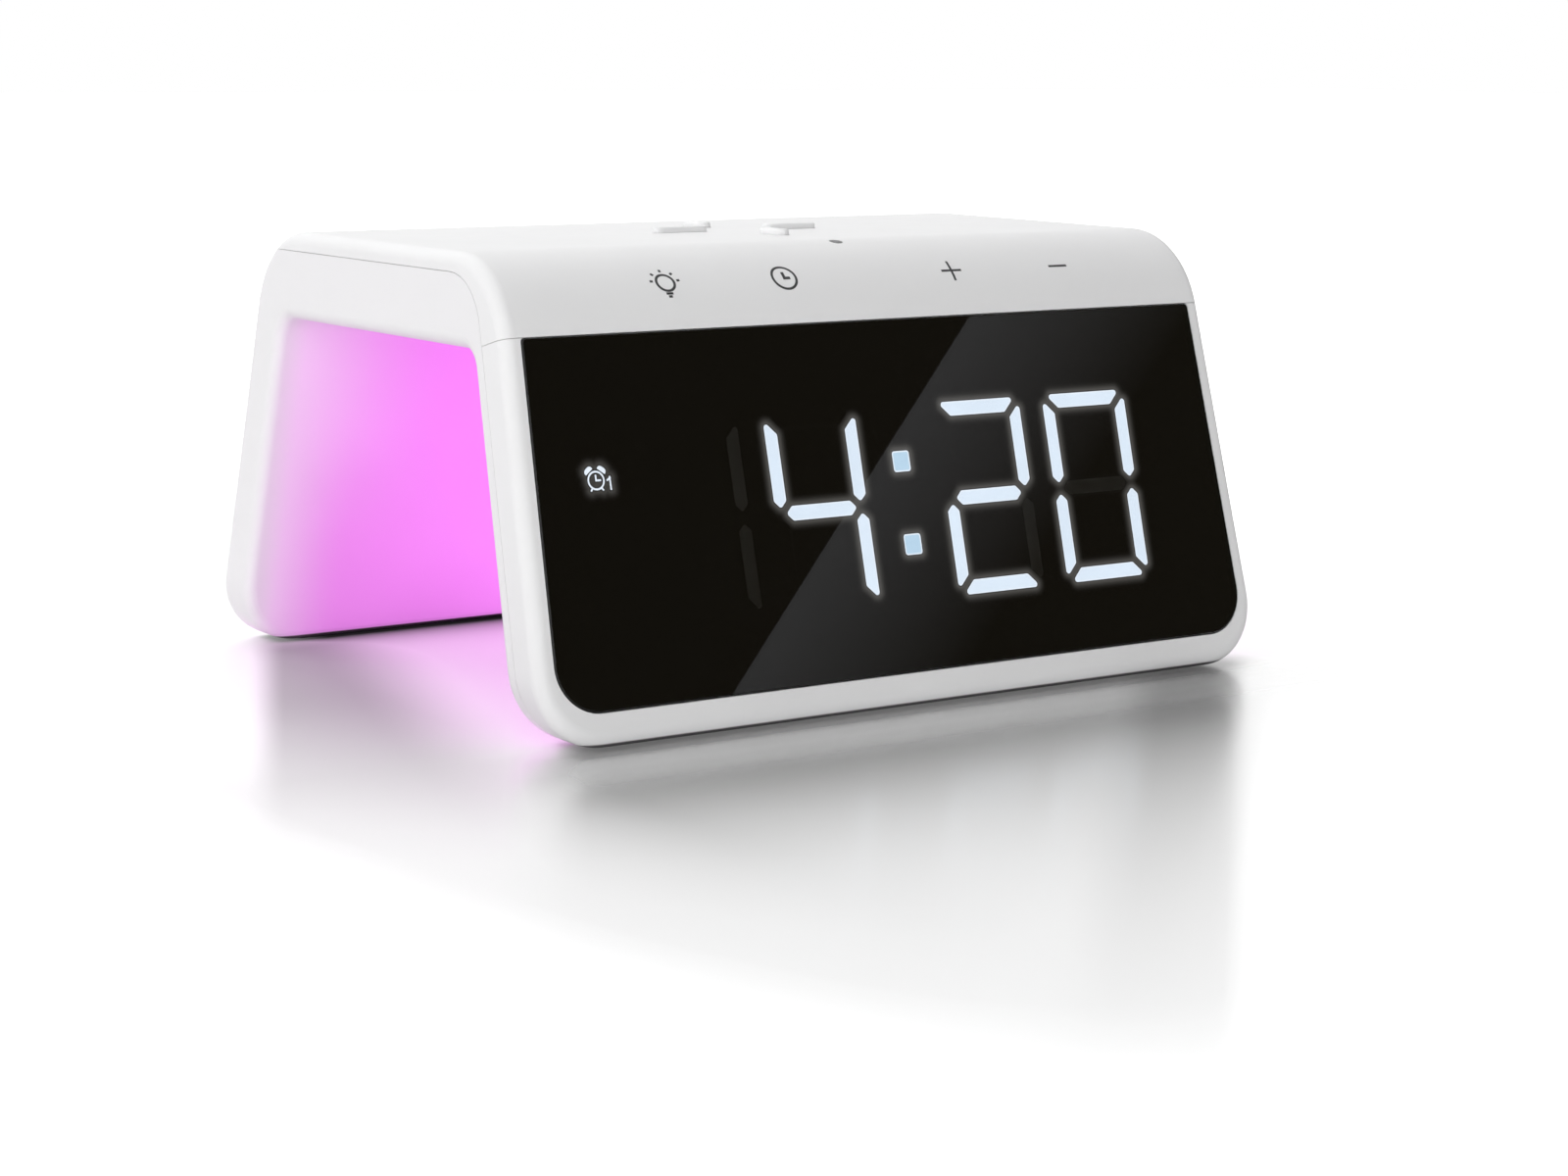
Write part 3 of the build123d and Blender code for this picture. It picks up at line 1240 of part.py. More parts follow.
def make_speaker_ribbon():
    return leg_ribbon(
        rear, speaker_ribbon_rise, speaker_tab_depth, ribbon_rear_end, REAR_SPREAD, SPEAKER_RIBBON_WIDTH
    )


def make_cell_ribbon():
    depth = contact_top + CONTACT_THICKNESS / 2
    return leg_ribbon(rear, cell_ribbon_rise, depth, ribbon_rear_end, -REAR_SPREAD, CELL_RIBBON_WIDTH)


def make_display_connector():
    spot = front.at(DISPLAY_RIBBON_ACROSS, display_connector_rise, display_board_back)
    width = DISPLAY_RIBBON_WIDTH + 2 * CONNECTOR_MARGIN
    return spot * block(width, CONNECTOR_LENGTH, DISPLAY_CONNECTOR_HEIGHT)


def make_main_connectors():
    """Sockets under the main board, one at the end of each ribbon."""
    height = main_board_bottom - ribbon_level + RIBBON_THICKNESS
    sockets = []
    ribbons = (
        (DISPLAY_RIBBON_ACROSS, DISPLAY_RIBBON_WIDTH, ribbon_front_end, 1),
        (-INLET_ACROSS, POWER_RIBBON_WIDTH, ribbon_rear_end, -1),
        (REAR_SPREAD, SPEAKER_RIBBON_WIDTH, ribbon_rear_end, -1),
        (-REAR_SPREAD, CELL_RIBBON_WIDTH, ribbon_rear_end, -1),
    )
    for across, width, end, inward in ribbons:
        middle = end + inward * CONNECTOR_LENGTH / 2
        socket = block(width + 2 * CONNECTOR_MARGIN, CONNECTOR_LENGTH, height)
        sockets.append(Pos(across, middle, main_board_bottom) * socket)
    return gather(sockets)


# Every node and its solids

nodes = {
    "top_cover": make_top_cover(),
    "front_frame": make_front_frame(),
    "light_housing": make_light_housing(),
    "rear_cover": make_rear_cover(),
    "display_lens": make_display_lens(),
    "front_foot": foot_strip(front, 0),
    "rear_foot": foot_strip(rear, 0),
    "indicator_pipe": make_indicator_pipe(),
    "indicator_led": make_indicator_led(),
    "display_reflector": make_reflector(),
    "lit_segments": light_pipes(segment_faces(True), SEGMENT_DEPTH),
    "unlit_segments": light_pipes(segment_faces(False), SEGMENT_DEPTH),
    "colon_dots": light_pipes(colon_faces(), SEGMENT_DEPTH),
    "alarm_mark": light_pipes(mark_faces(), MARK_STROKE_DEPTH),
    "alarm_mark_pane": make_mark_pane(),
    "display_board": make_display_board(),
    "segment_leds": make_segment_leds(),
    "display_connector": make_display_connector(),
    "display_ribbon": make_display_ribbon(),
    "display_screws": make_display_screws(),
    "touch_board": make_touch_board(),
    "touch_screws": make_touch_screws(),
    "charging_coil": make_coil(),
    "ferrite_plate": make_ferrite(),
    "coil_tray": make_coil_tray(),
    "coil_tray_screws": make_coil_tray_screws(),
    "coil_leads": make_coil_leads(),
    "main_board": make_main_board(),
    "board_screws": make_board_screws(),
    "control_chip": make_control_chip(),
    "power_inductors": make_inductors(),
    "main_capacitors": make_capacitors(),
    "mood_leds": make_mood_leds(),
    "main_connectors": make_main_connectors(),
    "power_board": make_power_board(),
    "power_board_screws": make_power_board_screws(),
    "usb_shell": make_usb_shell(),
    "usb_tongue": make_usb_tongue(),
    "power_ribbon": make_power_ribbon(),
    "speaker_gasket": make_speaker_gasket(),
    "speaker_frame": make_speaker_frame(),
    "speaker_cone": make_speaker_cone(),
    "speaker_magnet": make_speaker_magnet(),
    "speaker_ribbon": make_speaker_ribbon(),
    "backup_cell": make_backup_cell(),
    "cell_contact": make_cell_contact(),
    "cell_side_contact": make_cell_side_contact(),
    "cell_ribbon": make_cell_ribbon(),
    "battery_cap": make_battery_cap(),
    "battery_cap_seal": make_battery_cap_seal(),
    "rear_cover_screws": make_rear_cover_screws(),
}
for name in grip_places():
    nodes["grip_bar_" + name] = grip_bar(name, 0)
for name, across in touch_places().items():
    nodes["touch_pad_" + name] = make_touch_pad(across)

os.makedirs("parts", exist_ok=True)
for name, shape in nodes.items():
    export_step(shape, "parts/" + name + ".step")
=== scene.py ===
"""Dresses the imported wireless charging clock: finishes, lit display, touch marks and a white studio."""
import json
import math

import bmesh
import bpy
import numpy as np
from bpy.props import FloatProperty, FloatVectorProperty, PointerProperty
from mathutils import Matrix, Vector
from mathutils.geometry import delaunay_2d_cdt


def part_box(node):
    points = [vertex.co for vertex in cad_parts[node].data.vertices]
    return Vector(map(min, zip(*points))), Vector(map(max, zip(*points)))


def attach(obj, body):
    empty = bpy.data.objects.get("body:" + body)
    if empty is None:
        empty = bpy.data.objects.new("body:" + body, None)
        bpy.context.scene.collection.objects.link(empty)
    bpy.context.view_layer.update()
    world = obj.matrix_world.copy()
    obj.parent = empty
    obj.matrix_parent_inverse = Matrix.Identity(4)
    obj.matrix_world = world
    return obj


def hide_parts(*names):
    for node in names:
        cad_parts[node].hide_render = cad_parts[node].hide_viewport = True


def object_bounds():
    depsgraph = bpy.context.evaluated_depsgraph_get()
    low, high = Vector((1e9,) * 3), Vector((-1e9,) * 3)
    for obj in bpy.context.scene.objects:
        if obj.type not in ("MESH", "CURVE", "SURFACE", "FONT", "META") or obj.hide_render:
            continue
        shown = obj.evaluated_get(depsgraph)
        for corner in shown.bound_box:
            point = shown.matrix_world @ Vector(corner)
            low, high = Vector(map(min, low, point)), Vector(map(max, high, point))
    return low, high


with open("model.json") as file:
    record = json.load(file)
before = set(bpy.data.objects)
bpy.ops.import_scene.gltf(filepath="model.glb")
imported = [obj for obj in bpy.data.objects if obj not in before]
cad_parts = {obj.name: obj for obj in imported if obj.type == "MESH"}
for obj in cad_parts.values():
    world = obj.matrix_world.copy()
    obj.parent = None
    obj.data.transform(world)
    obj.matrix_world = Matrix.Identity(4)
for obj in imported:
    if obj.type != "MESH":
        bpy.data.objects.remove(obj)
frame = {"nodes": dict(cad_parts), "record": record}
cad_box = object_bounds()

bl_info = {
    "name": "Charging Clock Dresser",
    "version": (1, 0, 0),
    "blender": (4, 5, 0),
    "location": "View3D > Sidebar > Clock",
    "description": "Finishes, lit display and studio for the wireless charging clock",
    "category": "Object",
}

MM = 0.001
FINISH_NAME = "{}_finish"
WHITE = (1, 1, 1, 1)
BLACK = (0, 0, 0, 1)

# Leans of the shells, the two axes of the display face, and the heights over which painted shade turns the
# bottom of the legs dark
FRONT_LEAN = math.radians(15)
END_TAPER = math.radians(2.3)
OUTWARD = Vector((0, -math.cos(FRONT_LEAN), math.sin(FRONT_LEAN)))
UP_FACE = Vector((0, math.sin(FRONT_LEAN), math.cos(FRONT_LEAN)))
SOLE_SHADE_HEIGHTS = (1.2 * MM, 1.5 * MM)

# Display window, and the outlines taken from the display's nodes
LENS_PROUD = 0.2 * MM
LEAST_CORNER = 0.2 * MM
FLAT = 0.02 * MM
FACING_SHARE = 0.99
LOOP_DIGITS = 4
LEAST_TURN_SHARE = 0.2
TOP_BAND_SHARE = 1.5
LENS_STEPS = 16
EDGE_STEPS = 5
MASK_STEPS = 8

# Touch marks: rays of the bulb, and its cap and tip as half a width and a drop below its middle
RAY_ANGLES = (8, 45, 90, 135, 172)
RAY_START = 2.65 * MM
RAY_END = 3.3 * MM
BULB_BARS = ((0.75 * MM, 2.5 * MM), (0.4 * MM, 3.15 * MM))
RING_STEPS = 48
FULL_TURN = 360.0
BAR_STEPS = 4
STRIP_CLOSED = 0.01 * MM
STRIP_WELD = 0.001 * MM

# Range that most of a noise lies in, and the narrower one that tones are spread over
NOISE_SPAN = (0.3, 0.7)
MOTTLE_SPAN = (0.35, 0.65)
NOISE_DETAIL = 2.0

# Light in the tunnel: where it fades in along the clock and up the legs, from nothing to all of it
MOOD_FACING = (0.0, -0.2)
MOOD_LOW_FADE = (92 * MM, 63 * MM)
MOOD_HIGH_FADE = (102 * MM, 45 * MM)
MOOD_RISE = (15 * MM, 60 * MM)
# Glow that rises deeper into the tunnel: painted light that makes up for the shade there
MOOD_DEPTH = (95 * MM, 20 * MM)
MOOD_DEPTH_SHARES = (0.2, 1.7)
MOOD_MOUTH = 7 * MM
MOOD_DRIFT = 40 * MM
MOOD_DRIFT_SHARES = (0.82, 1.1)

# Light pipes, the window, and the mask with the light that spills on it
PIPE_BODY = (0.6, 0.62, 0.65)
PIPE_DRIFT = 6 * MM
PIPE_DIM_SHARE = 0.96
UNLIT_TONE = (0.14, 0.137, 0.125)
MASK_TONE = (0.004, 0.004, 0.0037)
MASK_MOTTLE = 5 * MM
SPILL_LAYER = "spill"
SPILL_FADE_POWER = 2.5
SPILL_EDGE_SHARE = 0.15
SPILL_ROW_SHARE = 0.75
NET_CLEAR_SHARE = 1.6
ROW_CLEAR_SHARE = 0.6
NET_MERGE = 1e-5
LENS_MOTTLE = 30 * MM
LEAK_LEFT = (-31 * MM, -33 * MM)
LEAK_RIGHT = (20 * MM, 22 * MM)

# Spread of tones and of roughness over a finish, and the size of both in grains
MOULD_SHIFT = 0.015
MOULD_SPREAD = 0.04
MOULD_MOTTLE_GRAINS = 60
MOULD_SHEEN_GRAINS = 8
METAL_SHIFT = 0.08
METAL_SPREAD = 0.06
METAL_MOTTLE_GRAINS = 20
METAL_SHEEN_GRAINS = 4
LENS_SHIFT = 0.03
MASK_SHIFT = 0.2

# Heights of the fine textures
MOULD_BUMP = 0.004 * MM
METAL_BUMP = 0.002 * MM
GLOSS_BUMP = 0.001 * MM
BOARD_BUMP = 0.006 * MM
SATIN_BUMP = 0.008 * MM
BAKED_BUMP = 0.01 * MM
RUBBER_BUMP = 0.02 * MM
FOAM_BUMP = 0.1 * MM

# Lines on the table that its shadows follow: sideways for each step forward
LEFT_LINE_SHARE = 0.58
RIGHT_LINE_SHARE = 0.925
OUTER_LINE_SHARE = 0.476
INNER_LINE_SHARE = 0.3
FORWARD = Vector((-0.566, -0.824))

# Where each shadow on the table fades in, from nothing to all of it
INNER_FADE = (-62 * MM, -90 * MM)
OUTER_FADE = (-112 * MM, -103 * MM)
FORWARD_FADE = (185 * MM, 45 * MM)
REAR_FADE = 20 * MM
HEEL_SETBACK = 2 * MM
HEEL_FADE = 5 * MM
HEEL_ENDS = (80 * MM, 64 * MM)
TOE_FADE = (-5 * MM, 15 * MM)
TOE_SHARE = 0.2
TOE_LEFT = (-12 * MM, 4 * MM)
TOE_RIGHT = (-5 * MM, -15 * MM)
STREAK_LEFT = (45 * MM, 62 * MM)
STREAK_RIGHT = (84 * MM, 76 * MM)
UNDER_FADE = 10 * MM

# Sheen and whiteness of the table, the whiteness to the clock's right being painted light over the lamps'
# shadow
TABLE_REACH = 6.0
TABLE_DRIFT = 60 * MM
TABLE_ROUGHNESS = (0.2, 0.23)
TUNNEL_FADE = (-12 * MM, 8 * MM)
BESIDE_FADE = 8 * MM
BESIDE_SHARE = 0.2
FAR_FADE = (170 * MM, 420 * MM)
FAR_WHITE = (0.2, 1.0)
# Painted light to the right of the clock, lifting the lamps' shadow there
RIGHT_FADE = (79 * MM, 90 * MM)
RIGHT_PAINTED_LIGHT = 0.3
LEFT_FADE = -130 * MM
LEFT_REAR_FADE = (-60 * MM, -20 * MM)
LEFT_WHITE = 0.15

# Dark card that the window mirrors, with its slanting paler band
CARD_HALF = 0.8
CARD_PLACE = (0.72615, -1.01433, 0.37923)
CARD_FACING = Vector((-0.58532, 0.76344, -0.27305))
CARD_SLANT = Vector((0.6528, 0.7577))
CARD_EDGE = 0.0166
CARD_FADE = (0.008, 0.108)
CARD_DARK = (0.108, 0.093, 0.065)
CARD_PALE = (0.51, 0.51, 0.51)

# Width of the camera's frame in millimetres
SENSOR_WIDTH = 36.0

# Lamps: place and width of each, all turned to one point of the clock
LAMP_AIM = Vector((0, 0, 0.04))
LAMPS = {
    "top": ((0.0, 0.65, 1.0), 1.3),
    "left": ((-1.15, -0.1, 0.5), 0.9),
    "front": ((-0.3, -0.95, 0.12), 0.5),
}


def node_mesh(name):
    return frame["nodes"][name].data


LENS_REACH = max(v.co.dot(OUTWARD) for v in node_mesh("display_lens").vertices)
FACE_FOOT = Vector((0, -(LENS_REACH - LENS_PROUD) / math.cos(FRONT_LEAN), 0))


def on_face(point):
    """Across, rise and depth of a point, as seen on the leaning display face."""
    gap = point - FACE_FOOT
    return gap.x, gap.dot(UP_FACE), -gap.dot(OUTWARD)


def from_face(across, rise, depth):
    """Point in the shared frame from its place on the display face."""
    return FACE_FOOT + Vector((across, 0, 0)) + UP_FACE * rise - OUTWARD * depth


# Settings

def length(name, note, default):
    return FloatProperty(name=name, description=note, default=default, unit="LENGTH", precision=5)


def colour(name, note, default):
    return FloatVectorProperty(
        name=name, description=note, default=default, size=3, subtype="COLOR", min=0.0, max=1.0)


def share(name, note, default):
    return FloatProperty(name=name, description=note, default=default, subtype="FACTOR", min=0.0, max=1.0)


def amount(name, note, default):
    return FloatProperty(name=name, description=note, default=default, min=0.0)


def angle(name, note, degrees):
    return FloatProperty(name=name, description=note, default=math.radians(degrees), subtype="ANGLE")


def watts(name, note, default):
    return FloatProperty(name=name, description=note, default=default, unit="POWER", min=0.0)


class ClockDisplay(bpy.types.PropertyGroup):
    lens_corner: length("Lens corner", "Radius of the lower corners of the window", 8.75 * MM)
    lens_top_corner: length("Lens top corner", "Radius of the upper corners of the window", 1.0 * MM)
    lens_edge: length("Lens edge", "Rounding along the window's front edge", 0.35 * MM)
    lens_pane: length("Lens pane", "Depth of the window's rear face", 0.4 * MM)
    lens_back: length("Lens back", "Depth of the rim round the window's rear face", 1.68 * MM)
    lens_rim: length("Lens rim", "Width of that rim", 0.4 * MM)
    mask_depth: length("Mask depth", "Depth of the printed mask behind the window", 1.75 * MM)
    mask_inset: length("Mask inset", "Mask edge inside the window's edge", 0.05 * MM)
    segment_rim: length("Segment rim", "Width of the bright rim round each segment", 0.26 * MM)
    segment_depth: length("Segment depth", "Length of each light pipe", 1.5 * MM)
    glow_reach: length("Glow reach", "How far light spills past a segment", 2.2 * MM)
    glow_gap: length("Glow gap", "Dark line between a segment and its spill", 0.3 * MM)
    glow_step: length("Glow step", "Spacing of the points that carry the spill", 0.4 * MM)
    lit_colour: colour("Lit colour", "Middle of a lit segment", (0.72, 0.83, 0.955))
    colon_colour: colour("Colon colour", "Middle of the colon's dots", (0.46, 0.65, 0.815))
    rim_colour: colour("Rim colour", "Rim of a lit segment", (0.82, 0.90, 1.0))
    glow_colour: colour("Glow colour", "Spill round a lit segment", (1.0, 0.97, 0.92))
    smoke: colour("Smoke", "Tint of the window", (0.31, 0.31, 0.31))
    lit_power: amount("Lit power", "Brightness of lit segments", 3.45)
    glow_power: amount("Glow power", "Brightness of the spill", 0.36)
    mark_share: share("Mark share", "Spill of the small mark, as a share of a segment's", 0.55)


class ClockMarks(bpy.types.PropertyGroup):
    bend_radius: length("Bend radius", "Outer radius of the front bend", 19.5 * MM)
    bend_height: length("Bend height", "Height of the bend's centre line", 68.6 * MM)
    bend_depth: length("Bend depth", "Centre line of the bend, front to back", -31.376 * MM)
    row_angle: angle("Row angle", "Where the row of marks lies round the bend", 46.5)
    bulb_across: length("Bulb across", "Middle of the light mark", -45.7 * MM)
    clock_across: length("Clock across", "Middle of the clock mark", -18.8 * MM)
    plus_across: length("Plus across", "Middle of the plus mark", 21.4 * MM)
    minus_across: length("Minus across", "Middle of the minus mark", 48.5 * MM)
    line: length("Line", "Width of the printed lines", 0.52 * MM)
    bulb_radius: length("Bulb radius", "Radius of the light mark's ring", 1.9 * MM)
    clock_radius: length("Clock radius", "Radius of the clock mark's ring", 2.64 * MM)
    hand: length("Hand", "Width of the printed clock hands", 0.66 * MM)
    hand_drop: length("Hand drop", "How far below the middle the hands meet", 0.15 * MM)
    long_hand: length("Long hand", "Length of the upright hand", 1.5 * MM)
    short_hand: length("Short hand", "Length of the level hand", 1.3 * MM)
    plus_half: length("Plus half", "Half the width of the plus mark", 2.45 * MM)
    minus_half: length("Minus half", "Half the width of the minus mark", 2.32 * MM)
    ink: length("Ink", "How far the ink stands on the cover", 0.02 * MM)
    ink_colour: colour("Ink colour", "Printed marks", (0.022, 0.022, 0.024))


class ClockFinish(bpy.types.PropertyGroup):
    shell: colour("Shell", "Satin white shell", (0.85, 0.85, 0.855))
    milky: colour("Milky", "Milky light housing", (0.85, 0.845, 0.855))
    mood: colour("Mood light", "Colour of the light in the tunnel", (0.86, 0.285, 0.875))
    # Painted light: whitish glow that lightens the shade at the tunnel's mouths
    mood_end: colour("Mood end", "Light at the mouths of the tunnel", (0.88, 0.78, 0.88))
    # Painted light: pink painted into the milky plastic's colour where the mood light falls
    mood_tint: colour("Mood tint", "Milky plastic where it is lit through", (0.80, 0.34, 0.80))
    mood_power: amount("Mood power", "Brightness of the tunnel's faces", 0.345)
    # Painted shade: tone of the dark line where the legs turn under to their feet
    sole: colour("Sole", "Line where the legs turn under to their feet", (0.09, 0.085, 0.09))
    shell_roughness: share("Shell roughness", "Satin of the shell", 0.42)
    rear_roughness: share("Rear roughness", "Satin of the rear panel and its cap", 0.48)
    milky_roughness: share("Milky roughness", "Satin of the light housing", 0.4)
    shell_gloss: share("Shell gloss", "Strength of the shell's highlights", 0.3)
    grain: length("Grain", "Size of the moulded texture", 0.35 * MM)


class ClockStage(bpy.types.PropertyGroup):
    eye: FloatVectorProperty(
        name="Eye", description="Where the camera stands", size=3, subtype="TRANSLATION",
        default=(-0.36449, -0.54927, 0.12700))
    azimuth: angle("Azimuth", "Camera's turn round the clock", -34.50)
    elevation: angle("Elevation", "Camera's height angle", 9.78)
    roll: angle("Roll", "Camera's tilt", 0.45)
    focal: FloatProperty(
        name="Focal length", description="Lens on a 36 mm frame, in millimetres", default=73.1, min=1.0)
    floor: colour("Floor", "Colour of the table", (0.80, 0.80, 0.80))
    shadow: share("Shadow", "Soft shadow that runs forward from the rear leg's left end", 0.53)
    close: share("Close shadow", "Shadow close along the rear leg's foot", 0.95)
    close_reach: length("Close reach", "How far in front of the rear leg that shadow fades", 8 * MM)
    streak: share("Streak", "Shadow in front of the display leg's right end", 0.3)
    streak_length: length("Streak length", "How far forward that shadow fades", 190 * MM)
    contact: share("Contact", "Shadow right in front of the display leg", 0.38)
    contact_reach: length("Contact reach", "How far in front that shadow fades", 25 * MM)
    sheen: amount("Sheen", "How much the table mirrors beside the clock, all of it from one up", 1.15)
    sheen_reach: length("Sheen reach", "How far in front of the clock the sheen fades", 46 * MM)
    fill_left: share("Fill left", "Soft light from the left side", 0.33)
    fill_right: share("Fill right", "Soft light from the right side", 0.13)
    side_squeeze: amount("Side squeeze", "How much faster the sheen fades beside the clock", 3.0)
    tunnel_sheen: share("Tunnel sheen", "Share of the table's sheen that is left under the arch", 0.2)
    top_power: watts("Top lamp", "Lamp above", 12.4)
    left_power: watts("Left lamp", "Lamp on the left", 5.6)
    front_power: watts("Front lamp", "Lamp in front", 4.4)


GROUPS = {"clock_display": ClockDisplay, "clock_marks": ClockMarks,
          "clock_finish": ClockFinish, "clock_stage": ClockStage}


# Materials

class Net:
    """Nodes of a material or of the world, and helpers that add to them."""

    def __init__(self, tree):
        self.tree = tree
        self.nodes = tree.nodes

    def link(self, source, target):
        self.tree.links.new(source, target)

    def remap(self, source, low, high, start, end, smooth=False):
        """Value that goes from start to end while the source goes from low to high."""
        node = self.nodes.new("ShaderNodeMapRange")
        node.interpolation_type = "SMOOTHSTEP" if smooth else "LINEAR"
        for name, value in (("From Min", low), ("From Max", high), ("To Min", start), ("To Max", end)):
            node.inputs[name].default_value = value
        self.link(source, node.inputs["Value"])
        return node.outputs["Result"]

    def ramp(self, source, nothing, full):
        """Smooth rise from nothing at one value to all at another."""
        return self.remap(source, nothing, full, 0, 1, smooth=True)

    def maths(self, operation, first, second=None):
        node = self.nodes.new("ShaderNodeMath")
        node.operation = operation
        for slot, value in enumerate((first, second)):
            if value is None:
                continue
            if isinstance(value, (int, float)):
                node.inputs[slot].default_value = value
            else:
                self.link(value, node.inputs[slot])
        return node.outputs["Value"]

    def product(self, *factors):
        result = factors[0]
        for factor in factors[1:]:
            result = self.maths("MULTIPLY", result, factor)
        return result

    def total(self, *terms):
        result = terms[0]
        for term in terms[1:]:
            result = self.maths("ADD", result, term)
        return result

    def fall(self, distance, reach):
        """Fade from one to nothing with a distance."""
        return self.maths("EXPONENT", self.product(self.maths("MAXIMUM", distance, 0), -1 / reach))

    def mix(self, factor, first, second):
        """Colour that goes from the first colour to the second with a factor."""
        node = self.nodes.new("ShaderNodeMix")
        node.data_type = "RGBA"
        self.link(factor, node.inputs["Factor"])
        for name, value in (("A", first), ("B", second)):
            if isinstance(value, bpy.types.NodeSocket):
                self.link(value, node.inputs[name])
            else:
                node.inputs[name].default_value = (*value, 1)
        return node.outputs["Result"]

    def blend(self, factor, first, second):
        """Shader that goes from the first shader to the second with a factor."""
        node = self.nodes.new("ShaderNodeMixShader")
        for slot, source in enumerate((factor, first, second)):
            self.link(source, node.inputs[slot])
        return node.outputs["Shader"]

    def split(self, source):
        node = self.nodes.new("ShaderNodeSeparateXYZ")
        self.link(source, node.inputs["Vector"])
        return node.outputs


class Finish(Net):
    """A material being built round its principled shader."""

    def __init__(self, name):
        self.material = bpy.data.materials.new(FINISH_NAME.format(name))
        self.material.use_nodes = True
        super().__init__(self.material.node_tree)
        self.shader = self.nodes["Principled BSDF"]
        self.coords = None

    def set(self, **sockets):
        for name, value in sockets.items():
            self.shader.inputs[name.replace("_", " ")].default_value = value
        return self

    def place(self):
        """Coordinates in the object's own frame, in metres."""
        if self.coords is None:
            self.coords = self.nodes.new("ShaderNodeTexCoord").outputs["Object"]
        return self.coords

    def noise(self, size):
        """Even noise whose grains are about this size."""
        texture = self.nodes.new("ShaderNodeTexNoise")
        texture.inputs["Scale"].default_value = 1 / size
        texture.inputs["Detail"].default_value = NOISE_DETAIL
        self.link(self.place(), texture.inputs["Vector"])
        return texture.outputs["Fac"]

    def drift(self, size, low, high):
        """Value that wanders between two ends, over patches of about this size."""
        return self.remap(self.noise(size), *NOISE_SPAN, low, high)

    def colour(self, source):
        self.link(source, self.shader.inputs["Base Color"])
        return self

    def roughness(self, size, middle, spread):
        self.link(self.drift(size, middle - spread, middle + spread), self.shader.inputs["Roughness"])
        return self

    def bump(self, size, height):
        node = self.nodes.new("ShaderNodeBump")
        node.inputs["Distance"].default_value = height
        node.inputs["Strength"].default_value = 1.0
        self.link(self.noise(size), node.inputs["Height"])
        self.link(node.outputs["Normal"], self.shader.inputs["Normal"])
        return self

    def mottle(self, size, base, shift):
        """Slight change of tone over the surface."""
        first = tuple(c * (1 - shift) for c in base)
        return self.colour(self.mix(self.remap(self.noise(size), *MOTTLE_SPAN, 0, 1), first, base))

    def dark_sole(self, tone):
        """Painted shade: dark line low down, where the shell turns under to its feet."""
        height = self.split(self.place())[2]
        shell = self.shader.inputs["Base Color"].links[0].from_socket
        return self.colour(self.mix(self.remap(height, *SOLE_SHADE_HEIGHTS, 0, 1), tone, shell))


def moulded(name, base, roughness, grain, height=MOULD_BUMP, shift=MOULD_SHIFT):
    """Moulded plastic or rubber: fine grain, slight mottling and uneven sheen."""
    finish = Finish(name)
    finish.mottle(MOULD_MOTTLE_GRAINS * grain, base, shift)
    finish.roughness(MOULD_SHEEN_GRAINS * grain, roughness, MOULD_SPREAD)
    return finish.bump(grain, height)


def metal(name, base, roughness, grain):
    """Plated or drawn metal with a fine grain and uneven sheen."""
    finish = Finish(name).set(Metallic=1.0)
    finish.mottle(METAL_MOTTLE_GRAINS * grain, base, METAL_SHIFT)
    finish.roughness(METAL_SHEEN_GRAINS * grain, roughness, METAL_SPREAD)
    return finish.bump(grain, METAL_BUMP)


def glowing(name, tone, power):
    """Light pipe that is lit from behind, a little uneven."""
    finish = Finish(name).set(Base_Color=(*PIPE_BODY, 1), Roughness=0.5, Emission_Color=(*tone, 1))
    level = finish.drift(PIPE_DRIFT, PIPE_DIM_SHARE * power, power)
    finish.link(level, finish.shader.inputs["Emission Strength"])
    return finish


def milky_housing(look):
    """Milky plastic that glows with the mood light on the faces of the tunnel and turns white towards the
    ends, where the whitish glow is painted light that lightens the shade of the mouths; where lit, its colour
    is painted pink.
    """
    finish = moulded("milky_light", look.milky, look.milky_roughness, look.grain)
    finish.set(Specular_IOR_Level=look.shell_gloss)
    x, _, z = finish.split(finish.place())
    normal = finish.nodes.new("ShaderNodeNewGeometry").outputs["Normal"]
    facing = finish.ramp(finish.split(normal)[2], *MOOD_FACING)
    clear = finish.remap(z, *SOLE_SHADE_HEIGHTS, 0, 1)
    along = finish.total(finish.maths("ABSOLUTE", x), finish.product(z, math.tan(END_TAPER)))
    low = finish.ramp(along, *MOOD_LOW_FADE)
    high = finish.ramp(along, *MOOD_HIGH_FADE)
    rise = finish.ramp(z, *MOOD_RISE)
    centre = finish.total(low, finish.product(rise, finish.maths("SUBTRACT", high, low)))
    drift = finish.drift(MOOD_DRIFT, *MOOD_DRIFT_SHARES)
    end = cad_box[1][0]
    mouth = finish.ramp(along, end, end - MOOD_MOUTH)
    open_face = finish.product(facing, clear, mouth)
    # Glow rising deeper in: painted light against the shade there
    depth = finish.remap(along, *MOOD_DEPTH, *(look.mood_power * part for part in MOOD_DEPTH_SHARES))
    finish.link(finish.product(open_face, drift, depth), finish.shader.inputs["Emission Strength"])
    # Glow turning whitish towards the mouths: painted light that lightens their shade
    finish.link(finish.mix(centre, look.mood_end, look.mood), finish.shader.inputs["Emission Color"])
    # Pink mixed into the colour where the glow falls: painted light
    finish.colour(finish.mix(finish.product(open_face, centre), look.milky, look.mood_tint))
    return finish.dark_sole(look.sole)


